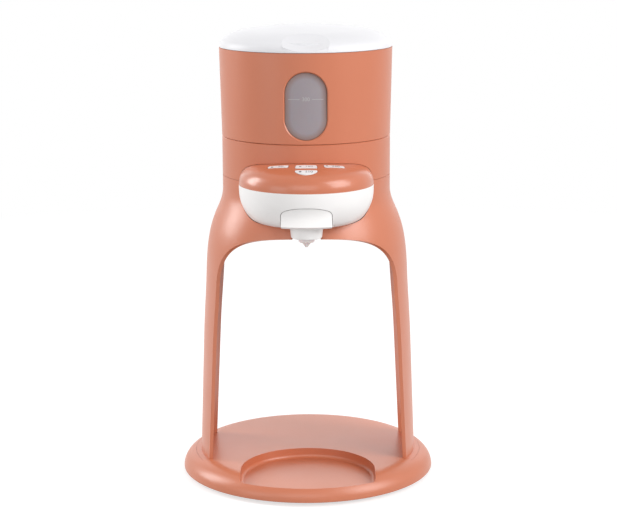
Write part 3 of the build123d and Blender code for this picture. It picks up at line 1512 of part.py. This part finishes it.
board_back_y = power_board_y + board_thickness
with BuildPart() as power_board:
    with Locations((0, power_board_y, power_board_z)):
        Box(2 * power_board_half, board_thickness, power_board_height,
            align=(Align.CENTER, Align.MIN, Align.MIN))
    # relay, capacitor and plug socket
    with Locations((-relay_x, board_back_y, power_board_z + part_rise)):
        Box(*relay_size, align=(Align.CENTER, Align.MIN, Align.MIN))
    post(relay_x, board_back_y + capacitor_radius - seam_gap, power_board_z + part_rise,
         power_board_z + part_rise + capacitor_height, capacitor_radius)
    with Locations((0, power_board_y, power_board_z + part_rise)):
        Box(*socket_size, align=(Align.CENTER, Align.MAX, Align.CENTER))
finish(power_board, "power_board")

with BuildPart() as board_guides:       # grooved rail that holds the board upright
    board_middle_y = power_board_y + board_thickness / 2
    with Locations((0, board_middle_y, chassis_top_z)):
        Box(2 * power_board_half - guide_width, guide_width, power_board_rise, align=UPRIGHT)
    for x in (-power_board_half + guide_width / 3, power_board_half - guide_width / 3):
        with Locations((x, board_middle_y, chassis_top_z)):
            Box(guide_width, guide_width, guide_height, align=UPRIGHT)
    with Locations((0, board_middle_y, power_board_z)):
        Box(2 * power_board_half + 2 * seam_gap, board_thickness + 2 * thread_clearance, power_board_height,
            align=UPRIGHT, mode=Mode.SUBTRACT)
finish(board_guides, "board_guides")


def hose(route, bends, radius, bore, name):
    """A hose along straight runs joined by tangent arcs."""
    with BuildPart() as tube:
        with BuildLine() as path:
            FilletPolyline(*route, radius=bends)
        with BuildSketch(Plane(path.line @ 0, z_dir=path.line % 0)):
            Circle(radius)
            Circle(bore, mode=Mode.SUBTRACT)
        sweep()
    finish(tube, name)


hose((
    (0, 0, well_floor_z - well_wall - hose_end_gap),
    (0, 0, pump_z),
    (0, pump_front - inlet_loop, pump_z),
    (pump_x, pump_front - inlet_loop, pump_z),
    (pump_x, pump_front - hose_end_gap, pump_z),
), hose_bend, hose_radius, hose_bore, "inlet_hose")
hose((
    (pump_x, pump_back + hose_end_gap, pump_z),
    (pump_x, pump_back + pressure_loop, pump_z),
    (heater_pipe_x, pump_back + pressure_loop, water_z),
    (heater_pipe_x, heater_back + hose_end_gap, water_z),
), pressure_bend, pressure_hose_radius, hose_bore, "pressure_hose")
hose((
    (heater_pipe_x, heater_front - spigot_length - hose_end_gap, water_z),
    (heater_pipe_x, heater_front - outlet_start, water_z),
    (0, heater_front - outlet_end, water_z),
    (0, spout_y, water_z),
    (0, spout_y, cup_top_z + outlet_clear),
), outlet_bends, outlet_tube_radius, outlet_tube_bore, "outlet_tube")
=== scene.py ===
# %% [markdown]
# # A baby formula maker: finishes, printed marks and a white studio
# The machine's shapes, sizes and joints come from its CAD frame. This lesson sets the camera, gives
# every moulding its finish, prints the small marks and builds the studio. Lengths are in metres, +Z
# is up and the front of the machine faces -Y.

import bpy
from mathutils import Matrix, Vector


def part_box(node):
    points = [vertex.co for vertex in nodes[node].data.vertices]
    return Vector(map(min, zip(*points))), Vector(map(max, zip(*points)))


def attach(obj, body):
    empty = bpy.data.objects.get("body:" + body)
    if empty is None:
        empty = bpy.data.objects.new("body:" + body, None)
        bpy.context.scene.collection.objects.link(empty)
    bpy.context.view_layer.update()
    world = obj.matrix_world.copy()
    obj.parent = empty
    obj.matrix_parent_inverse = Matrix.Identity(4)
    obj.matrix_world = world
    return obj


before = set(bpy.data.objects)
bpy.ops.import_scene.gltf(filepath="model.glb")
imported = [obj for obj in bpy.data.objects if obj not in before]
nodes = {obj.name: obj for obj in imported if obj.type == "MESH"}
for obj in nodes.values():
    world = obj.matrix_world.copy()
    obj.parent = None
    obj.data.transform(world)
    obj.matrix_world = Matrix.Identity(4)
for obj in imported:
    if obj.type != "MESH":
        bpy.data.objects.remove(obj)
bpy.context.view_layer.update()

from math import pi, radians

import bmesh
import bpy
from mathutils import Matrix, Vector
from mathutils.bvhtree import BVHTree

# %% [markdown]
# ## The camera
# A short lens close by would make the machine's upright edges lean and its head swell. Products are
# shown from far away with a long lens instead, which keeps upright edges nearly upright. Here that
# is a lens of about 104 mm on a 36 mm frame, 1.25 m in front of the machine, looking down by about
# 12 degrees. A side step of 1 mm and 0.3 degrees of roll finish the pose. The frame is 617 pixels
# wide and 530 high.

# %% Camera
frame_width = 617              # pixels
focal_length = 1787.0          # pixels
camera_place = (0.0012, -1.25, 0.4125)
look_down = 0.20704            # radians
camera_roll = radians(0.30)

camera_data = bpy.data.cameras.new("studio_camera")
camera_data.lens = camera_data.sensor_width * focal_length / frame_width
camera = bpy.data.objects.new("studio_camera", camera_data)
camera.location = camera_place
tilt = Matrix.Rotation(pi / 2 - look_down, 3, "X")
camera.rotation_euler = (tilt @ Matrix.Rotation(-camera_roll, 3, "Z")).to_euler()
bpy.context.scene.collection.objects.link(camera)
bpy.context.scene.camera = camera
bpy.context.scene.view_settings.view_transform = "Standard"
print("lens:", round(camera_data.lens, 2), "mm")

# %% [markdown]
# ## A small language for shaders
# A finish could be wired by hand, or node by node in Python, but its idea drowns in the plumbing.
# Here a socket understands + - and *, so that a mask is written as a sum, and one method makes
# every other kind of node from its settings and its inputs.


# %% Sockets that can be used in sums
class Value:
    """The output of a shader node, usable in Python expressions."""

    def __init__(self, wiring, link):
        self.wiring = wiring
        self.link = link

    def math(self, operation, first, second):
        return self.wiring.node("ShaderNodeMath", {"operation": operation}, {0: first, 1: second})

    def __add__(self, other):
        return self.math("ADD", self, other)

    def __sub__(self, other):
        return self.math("SUBTRACT", self, other)

    def __mul__(self, other):
        return self.math("MULTIPLY", self, other)

    def __rsub__(self, other):
        return self.math("SUBTRACT", other, self)

    __radd__ = __add__
    __rmul__ = __mul__


print("a socket understands + - *")


# %% A node tree that takes short calls
class Wiring:
    """Adds nodes to one node tree."""

    def __init__(self, tree):
        self.tree = tree

    def node(self, kind, settings=None, inputs=None, output=0):
        """Makes a node, with its settings before its inputs, and gives one of its outputs."""
        made = self.tree.nodes.new(kind)
        for name, setting in (settings or {}).items():
            if name == "stops":
                for stop, (position, shade) in zip(made.color_ramp.elements, setting):
                    stop.position = position
                    stop.color = (shade, shade, shade, 1)
            else:
                setattr(made, name, setting)
        for socket, value in (inputs or {}).items():
            self.feed(made, socket, value)
        return Value(self, made.outputs[output])

    def feed(self, node, socket, value):
        """Links a value to a node's input, or writes a constant there."""
        if isinstance(value, Value):
            self.tree.links.new(value.link, node.inputs[socket])
        else:
            node.inputs[socket].default_value = value

    def watched(self):
        """1 for the rays that look: straight, in a reflection or through something clear."""
        rays = [self.node("ShaderNodeLightPath", output=f"Is {kind} Ray")
                for kind in ("Camera", "Glossy", "Transmission")]
        return self.node("ShaderNodeMath", {"operation": "ADD", "use_clamp": True},
                         {0: rays[0] + rays[1], 1: rays[2]})


print("a node tree takes short calls")

# %% [markdown]
# ## What a finish is made of
# Every finish below is one Principled shader, fed by noises on Object coordinates. Those stay with
# the piece when it moves and need no unwrapping, which is why they are used instead of UV maps.


# %% A material with short calls
def opaque(colour):
    """Adds the alpha that a colour socket wants; a linked colour stays as it is."""
    return colour if isinstance(colour, Value) else (*colour, 1)


class Finish(Wiring):
    """A material with one Principled shader."""

    def __init__(self, name):
        self.material = bpy.data.materials.new(name)
        self.material.use_nodes = True
        super().__init__(self.material.node_tree)
        self.shader = self.tree.nodes["Principled BSDF"]
        self.place = self.node("ShaderNodeTexCoord", output="Object")

    def mix(self, factor, first, second):
        """Blends two colours: they are a Mix node's inputs 6 and 7, their blend its output 2."""
        return self.node("ShaderNodeMix", {"data_type": "RGBA"},
                         {0: factor, 6: opaque(first), 7: opaque(second)}, output=2)

    def noise(self, size, detail, roughness=0.55):
        """Noise whose blobs are about this many metres across."""
        return self.node("ShaderNodeTexNoise", None, {"Vector": self.place, "Scale": 1 / size,
                                                      "Detail": detail, "Roughness": roughness})

    def ramp(self, factor, low, high):
        """0 below low, 1 above high."""
        return self.node("ShaderNodeValToRGB", {"stops": ((low, 0.0), (high, 1.0))},
                         {"Fac": factor})

    def set(self, **values):
        """Sets or links the Principled shader's sockets; underscores stand for spaces."""
        for name, value in values.items():
            self.feed(self.shader, name.replace("_", " "), value)

    def bump(self, height, depth, strength):
        """Relief of this depth in metres."""
        self.set(Normal=self.node("ShaderNodeBump", None, {"Height": height, "Distance": depth,
                                                           "Strength": strength}))


print("a finish starts from one Principled shader")


# %% Noise as a change, tones of a colour, and dressing
def swing(noise, amount):
    """Turns a noise into a change around 0, by up to half the amount each way."""
    return (noise - 0.5) * amount


def toned(colour, factor, lift=0.0):
    """A paler or darker tone of a colour."""
    return tuple(min(1.0, factor * part + lift) for part in colour)


def dress(finish, *names):
    """Gives CAD nodes a finish."""
    for name in names:
        mesh = nodes[name].data
        mesh.materials.clear()
        mesh.materials.append(finish.material)
    print(finish.material.name, "on", ", ".join(names))


print("ready to dress", len(nodes), "nodes")

# %% [markdown]
# ## Terracotta plastic
# The outer mouldings are one coloured plastic with a fine spark texture from the mould. One flat
# colour would look like paint in a drawing. Seen close the plastic has a tiny grain that breaks up
# highlights, and over a hand's width its gloss wanders a little. So a small noise feeds a bump, and
# larger ones feed roughness and a barely visible change of colour. The head's cover is polished
# further than the rest, which a thin coat shows as two brighter streaks on its shoulders.


# %% Moulded plastic
def moulded_plastic(name, pale, deep, roughness, grain_depth=0.00012, cloud_size=0.045):
    """Injection-moulded plastic: two close tones, satin gloss and a fine mould grain."""
    finish = Finish(name)
    clouds = finish.noise(cloud_size, detail=2.0)
    smudges = finish.noise(0.014, detail=4.0, roughness=0.6)
    grain = finish.noise(0.00055, detail=2.0, roughness=0.5)
    finish.set(Base_Color=finish.mix(clouds, deep, pale),
               Roughness=roughness + swing(clouds, 0.06) + swing(smudges, 0.05))
    finish.bump(grain, grain_depth, strength=0.35)
    return finish


terracotta = moulded_plastic("terracotta_plastic", pale=(0.582, 0.180, 0.090),
                             deep=(0.562, 0.168, 0.081), roughness=0.34)
terracotta.set(Specular_IOR_Level=0.65)
dress(terracotta, "leg_frame", "housing_ring", "tank_shell", "base_shell")

# %% The polished head cover
polished = moulded_plastic("polished_terracotta_plastic", pale=(0.570, 0.170, 0.082),
                           deep=(0.550, 0.158, 0.073), roughness=0.32)
polished.set(Specular_IOR_Level=0.5, Coat_Weight=0.4, Coat_Roughness=0.16)
dress(polished, "head_cover")

# %% [markdown]
# ## White plastics
# The lid is a cool, rather matt white, the bowl and the drawer are a warmer and paler one, and the
# keys are a plain white. White could be written as a pure 1, but light would have nothing left to
# add to it and the forms would be lost, so no part of these colours is above 0.9.

# %% White mouldings
white = moulded_plastic("white_plastic", pale=(0.800, 0.796, 0.818),
                        deep=(0.786, 0.782, 0.805), roughness=0.42)
white.set(Specular_IOR_Level=0.35)
dress(white, "lid", "valve_body", "valve_cap", "valve_plunger", "tank_filter")
warm_white = moulded_plastic("warm_white_plastic", pale=(0.900, 0.882, 0.873),
                             deep=(0.890, 0.872, 0.863), roughness=0.36)
dress(warm_white, "head_bowl", "nozzle_drawer")
key_white = moulded_plastic("key_plastic", pale=(0.83, 0.83, 0.84),
                            deep=(0.82, 0.82, 0.83), roughness=0.42)
dress(key_white, "key_left", "key_middle", "key_lower", "key_right")

# %% [markdown]
# ## Frosted tank plastic
# The reservoir is a smoky, translucent moulding, and while the tank is docked and shut only its
# window shows. It could be a clear shader with rough transmission, which is slow and noisy. Light
# scatters in the real plastic and little comes through, so it is a soft grey with some light let in
# under the surface and a finely etched bump. Along the window's edge a mask paints brown shade
# into the colour: the shade of the recess walls and the shell's colour reflected in the pane. The
# window is an upright slot with round ends, and the mask follows it by the distance from the slot's
# middle line.

# %% Distance from the window's middle line
window_middle_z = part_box("tank_shell")[0][2] + 0.0257
window_radius = 0.0143         # half the slot's width
window_straight = 0.0086       # half the length of its straight sides

frosted = Finish("frosted_plastic")
across, upwards = (
    frosted.node("ShaderNodeSeparateXYZ", None, {"Vector": frosted.place}, output=axis)
    for axis in "XZ"
)
off_middle = frosted.node("ShaderNodeMath", {"operation": "ABSOLUTE"},
                          {0: upwards - window_middle_z})
past_straight = frosted.node("ShaderNodeMath", {"operation": "MAXIMUM"},
                             {0: off_middle - window_straight, 1: 0.0})
distance = frosted.node("ShaderNodeMath", {"operation": "SQRT"},
                        {0: across * across + past_straight * past_straight})
print("window's middle:", round(window_middle_z, 4), "m above the table")

# %% Frosted reservoir
edge_stop = 0.5                # where the window's edge lies on the ramps below
outwards = distance * (edge_stop / window_radius)
# painted shade: this mask is 1 along the window's edge, where the recess's shade and the shell's
# reflected colour are painted in
painted_edge_shade_mask = frosted.ramp(outwards, 0.34, 0.51) - frosted.ramp(outwards, 0.56, 0.66)
haze = frosted.noise(0.02, detail=3.0)
etch = frosted.noise(0.0004, detail=2.0)
smoke = frosted.mix(haze, (0.300, 0.262, 0.286), (0.336, 0.297, 0.318))
# the painted shade and reflected shell colour at the window's edge
painted_edge_shade = (0.245, 0.140, 0.112)
frosted.set(Base_Color=frosted.mix(painted_edge_shade_mask, smoke, painted_edge_shade), Roughness=0.42 + swing(haze, 0.08))
frosted.set(Subsurface_Weight=0.25, Subsurface_Scale=0.004)
frosted.bump(etch, 0.00006, strength=0.4)
dress(frosted, "tank_reservoir")

# %% [markdown]
# ## Silicone, rubber and hoses
# The nozzle is a soft, slightly milky silicone tip. The feet and seals are dark rubber with a dusty
# skin, and the hoses inside are clear silicone that has gone cloudy. All three are matt and uneven
# in the same way, so one helper makes them, with a share of light let in where they are milky.


# %% Soft parts
def soft_rubber(name, colour, roughness, milky=0.0):
    """Rubber or silicone: matt and dusty in places."""
    finish = Finish(name)
    dust = finish.noise(0.006, detail=4.0, roughness=0.65)
    pores = finish.noise(0.0004, detail=2.0)
    finish.set(Base_Color=finish.mix(dust, colour, toned(colour, 1.18, lift=0.01)),
               Roughness=roughness + swing(dust, 0.12))
    finish.set(Subsurface_Weight=milky, Subsurface_Scale=0.003)
    finish.bump(pores, 0.00008, strength=0.4)
    return finish


silicone = soft_rubber("nozzle_silicone", (0.82, 0.74, 0.73), roughness=0.45, milky=0.1)
dress(silicone, "nozzle")
dark_rubber = soft_rubber("dark_rubber", (0.030, 0.030, 0.032), roughness=0.72)
dress(dark_rubber, "rubber_feet", "valve_seal", "dock_seal")
hose_silicone = soft_rubber("hose_silicone", (0.58, 0.58, 0.55), roughness=0.38, milky=0.3)
dress(hose_silicone, "inlet_hose", "pressure_hose", "outlet_tube")

# %% [markdown]
# ## Hidden mouldings
# Covers, cradles and guides inside the machine are a plain grey plastic. They leave a coarser mould
# than the outside does, so the same plastic is used with a deeper grain and smaller clouds.

# %% Grey mouldings
grey = moulded_plastic("grey_plastic", pale=(0.185, 0.180, 0.175), deep=(0.165, 0.160, 0.156),
                       roughness=0.55, grain_depth=0.0002, cloud_size=0.03)
dress(grey, "base_cover", "underside_cover", "board_guides", "pump_cradle", "cord_gland",
      "gland_nut", "dock_stem")

# %% [markdown]
# ## Metals
# Metals could be told apart by colour alone, but how each was made shows as well. Screws, springs
# and pins are drawn, so their noise is stretched along Z into streaks. The weight and the heater
# are cast, and keep an even, grainy skin.


# %% Metals
def metal(name, colour, roughness, grain_size, grain_depth, stretch=1.0):
    """Bare metal with stains and a grain that can be drawn out along Z."""
    finish = Finish(name)
    drawn = finish.node("ShaderNodeMapping", None,
                        {"Vector": finish.place, "Scale": (1, 1, 1 / stretch)})
    grain = finish.node("ShaderNodeTexNoise", None,
                        {"Vector": drawn, "Scale": 1 / grain_size, "Detail": 4.0})
    stains = finish.noise(0.02, detail=3.0)
    finish.set(Base_Color=finish.mix(stains, toned(colour, 0.82), colour),
               Roughness=roughness + swing(grain, 0.2))
    finish.set(Metallic=1.0)
    finish.bump(grain, grain_depth, strength=0.5)
    return finish


steel = metal("drawn_steel", (0.60, 0.60, 0.61), roughness=0.34,
              grain_size=0.0006, grain_depth=0.00004, stretch=8.0)
dress(steel, "base_screws", "leg_screws", "underside_screws", "housing_screws", "head_screws",
      "board_screws", "hinge_pin", "valve_spring", "heater_bracket", "pump", "thermal_fuse")
cast_iron = metal("cast_iron", (0.16, 0.16, 0.165), roughness=0.62,
                  grain_size=0.0011, grain_depth=0.0002)
dress(cast_iron, "base_weight")
cast_aluminium = metal("cast_aluminium", (0.62, 0.62, 0.64), roughness=0.48,
                       grain_size=0.0008, grain_depth=0.00012)
dress(cast_aluminium, "heater_block")
brass = metal("turned_brass", (0.62, 0.46, 0.20), roughness=0.30,
              grain_size=0.0005, grain_depth=0.00003, stretch=6.0)
dress(brass, "temperature_sensor")

# %% [markdown]
# ## Circuit boards
# A board is glossy green lacquer over glass cloth, and its copper tracks show through as slightly
# lighter, raised lines. They could be drawn one by one. As the boards are out of sight, two wave
# textures that cross are enough, one along X and one along Y, multiplied into a mask.

# %% Circuit boards
circuit = Finish("circuit_board")
waves = [
    circuit.node("ShaderNodeTexWave", {"bands_direction": way},
                 {"Vector": circuit.place, "Scale": 180.0, "Distortion": 0.4, "Detail": 0.0})
    for way in "XY"
]
tracks = circuit.ramp(waves[0] * waves[1], 0.42, 0.5)
lacquer, lacquer_on_copper = (0.012, 0.085, 0.030), (0.035, 0.17, 0.06)
circuit.set(Base_Color=circuit.mix(tracks, lacquer, lacquer_on_copper),
            Roughness=0.24 + tracks * 0.1)
circuit.bump(tracks, 0.00005, strength=0.5)
dress(circuit, "power_board", "control_board")

# %% [markdown]
# ## The level mark on the window
# The window carries a level line with a plain number. A real one is pad printed: ink a few
# hundredths of a millimetre thick that follows the surface. It could be a mask in the finish, but a
# mesh of its own stays sharp however near one looks. Its shapes are made flat, joined, and dropped
# onto the window, so that the mark lies on whatever curve is under it.


# %% Inks
def ink(name, colour):
    """Matt print ink with a faint unevenness."""
    finish = Finish(name)
    patches = finish.noise(0.0012, detail=3.0)
    finish.set(Base_Color=finish.mix(patches, colour, toned(colour, 1.12)), Roughness=0.5)
    return finish


pale_ink = ink("pale_ink", (0.43, 0.41, 0.42))
grey_ink = ink("grey_ink", (0.16, 0.155, 0.16))
print("inks:", pale_ink.material.name, "and", grey_ink.material.name)


# %% The two bars of the level line
def mesh_of(shape, name):
    """Hands a bmesh over as a mesh."""
    mesh = bpy.data.meshes.new(name)
    shape.to_mesh(mesh)
    shape.free()
    return mesh


def strip(width, height, placing, steps=12):
    """A flat bar, cut across its length so that it can bend."""
    shape = bmesh.new()
    bmesh.ops.create_grid(shape, x_segments=steps, y_segments=1, size=0.5)
    bmesh.ops.scale(shape, vec=(width, height, 1), verts=shape.verts)
    bmesh.ops.transform(shape, matrix=placing, verts=shape.verts)
    return mesh_of(shape, "strip")


facing_front = Matrix.Rotation(pi / 2, 4, "X")
before_window = -0.06          # where the mark is made, before it is dropped backwards
level_z = 0.2752
level_gap_end = 0.0042         # the bars run from here, beside the number,
level_reach = 0.0118           # to here
line_thickness = 0.00032
bar_middle = (level_reach + level_gap_end) / 2
marks = [
    strip(level_reach - level_gap_end, line_thickness,
          Matrix.Translation((side * bar_middle, before_window, level_z)) @ facing_front)
    for side in (-1, 1)
]
print("bars:", len(marks))


# %% The number between them
def numerals(text, placing, height=0.0026, font_size=1.38):
    """A number as a flat mesh, its middle at the origin before placing; font_size is per height."""
    curve = bpy.data.curves.new("numerals", "FONT")
    curve.body = text
    curve.size = height * font_size
    curve.align_x = "CENTER"
    curve.align_y = "CENTER"
    curve.resolution_u = 4
    holder = bpy.data.objects.new("numerals", curve)
    bpy.context.scene.collection.objects.link(holder)
    bpy.context.view_layer.update()
    mesh = bpy.data.meshes.new_from_object(holder)
    bpy.data.objects.remove(holder)
    mesh.transform(placing)
    return mesh


marks.append(numerals("300", Matrix.Translation((0, before_window, level_z)) @ facing_front))
print("number:", len(marks[-1].vertices), "vertices")


# %% Joined and laid on the window
def flat_shapes(name, meshes):
    """Joins flat meshes into one and triangulates it, so that it can follow a curve."""
    shape = bmesh.new()
    for mesh in meshes:
        shape.from_mesh(mesh)
    bmesh.ops.remove_doubles(shape, verts=shape.verts, dist=1e-6)
    bmesh.ops.triangulate(shape, faces=shape.faces)
    bmesh.ops.recalc_face_normals(shape, faces=shape.faces)
    return mesh_of(shape, name)


def mesh_piece(name, mesh, finish, body):
    """A new piece on a CAD body."""
    piece = bpy.data.objects.new(name, mesh)
    bpy.context.scene.collection.objects.link(piece)
    mesh.materials.clear()
    mesh.materials.append(finish.material)
    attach(piece, body)
    return piece


def lay_on(piece, name, direction, run_up=0.1, lift=0.00006):
    """Moves each vertex along a direction until it lies just off the named node's surface."""
    mesh = nodes[name].data
    surface = BVHTree.FromPolygons([v.co[:] for v in mesh.vertices],
                                   [p.vertices[:] for p in mesh.polygons])
    direction = Vector(direction)
    for vertex in piece.data.vertices:
        hit = surface.ray_cast(vertex.co - direction * run_up, direction)[0]
        vertex.co = hit - direction * lift
    piece.data.update()


level_mark = mesh_piece("level_mark", flat_shapes("level_mark", marks), pale_ink,
                        "tank")
lay_on(level_mark, "tank_reservoir", (0, 1, 0))
print("level mark:", len(level_mark.data.vertices), "vertices")

# %% [markdown]
# ## The marks on the keys
# Each key carries a dot and a plain number. They are printed as the level mark is, and could be
# cut into the keys, but ink leaves no groove. So they are made as that mark is: flat, above the
# keys, and dropped. Each rides on its own key and sinks with it.


# %% Marks on the keys
def dot(radius, placing):
    """A flat round dot."""
    shape = bmesh.new()
    bmesh.ops.create_circle(shape, cap_ends=True, segments=20, radius=radius)
    bmesh.ops.transform(shape, matrix=placing, verts=shape.verts)
    return mesh_of(shape, "dot")


above_keys = 0.24
dot_radius = 0.0009
number_x, dot_x = 0.001, -0.0048       # from the place given for each mark
key_marks = {                          # number, and the mark's x and y
    "key_left": ("90", -0.0180, -0.0653),
    "key_middle": ("150", 0.0008, -0.0679),
    "key_lower": ("210", 0.0008, -0.0792),
    "key_right": ("240", 0.0187, -0.0653),
}
for key, (label, x, y) in key_marks.items():
    shapes = [numerals(label, Matrix.Translation((x + number_x, y, above_keys))),
              dot(dot_radius, Matrix.Translation((x + dot_x, y, above_keys)))]
    mark = mesh_piece("mark_" + key, flat_shapes("mark_" + key, shapes), grey_ink,
                      key + "_body")
    lay_on(mark, key, (0, 0, -1))
print("key marks:", len(key_marks))

# %% [markdown]
# ## A white studio
# A white background could come from much light, but that would wash out the machine. Instead the
# world is plain white where the camera, a reflection or something clear looks at it, and a quieter
# grey where it lights the machine, so the plastic keeps its own colour.

# %% World
fill_strength = 0.43
world = bpy.data.worlds.new("white_studio")
bpy.context.scene.world = world
world.use_nodes = True
sky = Wiring(world.node_tree)
background = sky.tree.nodes["Background"]
sky.feed(background, "Strength", fill_strength + sky.watched() * (1 - fill_strength))
sky.feed(background, "Color", (1, 1, 1, 1))
print("world:", world.name, "lights at", fill_strength)

# %% [markdown]
# ## The floor
# The machine stands on pale paper that has to look as white as the background and still hold a
# contact shadow. A glowing white floor would lose the shadow, and grey paper alone would show as a
# band with a horizon. So near the machine the paper adds its real shading to a glow, and further
# out it fades to plain white. It lights the machine as plain grey paper does.

# %% Floor
floor_size = 12.0
floor_drop = 0.0002            # keeps the paper clear of the feet's undersides
floor_shape = bmesh.new()
bmesh.ops.create_grid(floor_shape, x_segments=1, y_segments=1, size=floor_size)
floor = bpy.data.objects.new("studio_floor", mesh_of(floor_shape, "studio_floor"))
bpy.context.scene.collection.objects.link(floor)
floor.location.z = -floor_drop
print("floor:", floor.name)

# %% Paper
paper_grey = 0.45
paper_glow = 0.66
white_reach = 1.1              # the paper is plain white from here on
fade_start = 0.4               # and starts to fade at this share of it

paper = Finish("studio_paper")
paper.set(Base_Color=opaque([paper_grey] * 3), Roughness=0.9)
lit = Value(paper, paper.shader.outputs[0])
glow, plain_white = (
    paper.node("ShaderNodeEmission", None, {"Color": (1, 1, 1, 1), "Strength": strength})
    for strength in (paper_glow, 1.0)
)
shown = paper.node("ShaderNodeAddShader", None, {0: lit, 1: glow})
from_middle = paper.node("ShaderNodeVectorMath", {"operation": "LENGTH"}, {0: paper.place},
                         output="Value")
far_off = paper.ramp(from_middle * (1 / white_reach), fade_start, 1.0)
faded = paper.node("ShaderNodeMixShader", None, {0: far_off, 1: shown, 2: plain_white})
choice = paper.node("ShaderNodeMixShader", None, {0: paper.watched(), 1: lit, 2: faded})
paper.feed(paper.tree.nodes["Material Output"], "Surface", choice)
floor.data.materials.append(paper.material)
print("paper:", paper.material.name)

# %% [markdown]
# ## Lamps
# Five rectangular soft boxes light the machine, because a large soft source draws a broad, calm
# highlight where a bare lamp draws a hard spot. The strongest stands at the right. One at the left,
# a little behind, draws a bright edge along the shoulders. A wide panel behind the camera and a
# weak one low at the left open the shade between them. The last stands at the back and shines low
# over the base, where a shiny surface seen from a low angle mirrors it and looks paler. That one
# would stand in the view, so the camera doesn't see it.


# %% Lamps
def soft_lamp(name, place, aim, size, watts):
    """A rectangular soft box aimed at a point."""
    light = bpy.data.lights.new(name, "AREA")
    light.shape = "RECTANGLE"
    light.size, light.size_y = size
    light.energy = watts
    lamp = bpy.data.objects.new(name, light)
    lamp.location = place
    lamp.rotation_euler = (Vector(aim) - Vector(place)).to_track_quat("-Z", "Y").to_euler()
    bpy.context.scene.collection.objects.link(lamp)
    return lamp


machine_middle = (0, 0, 0.17)
soft_boxes = {                 # place, width and height, watts
    "right_softbox": ((1.15, -0.62, 0.95), (0.9, 1.0), 16.5),
    "left_softbox": ((-1.25, 0.35, 0.7), (0.55, 0.75), 10.3),
    "front_panel": ((-0.1, -1.5, 0.75), (1.2, 0.7), 4.6),
    "left_panel": ((-1.0, -0.95, 0.4), (0.7, 0.5), 2),
    "back_panel": ((0.0, 1.35, 0.65), (2.0, 0.9), 3.6),
}
lamps = {name: soft_lamp(name, place, machine_middle, size, watts)
         for name, (place, size, watts) in soft_boxes.items()}
lamps["back_panel"].visible_camera = False
print("lamps:", len(lamps))
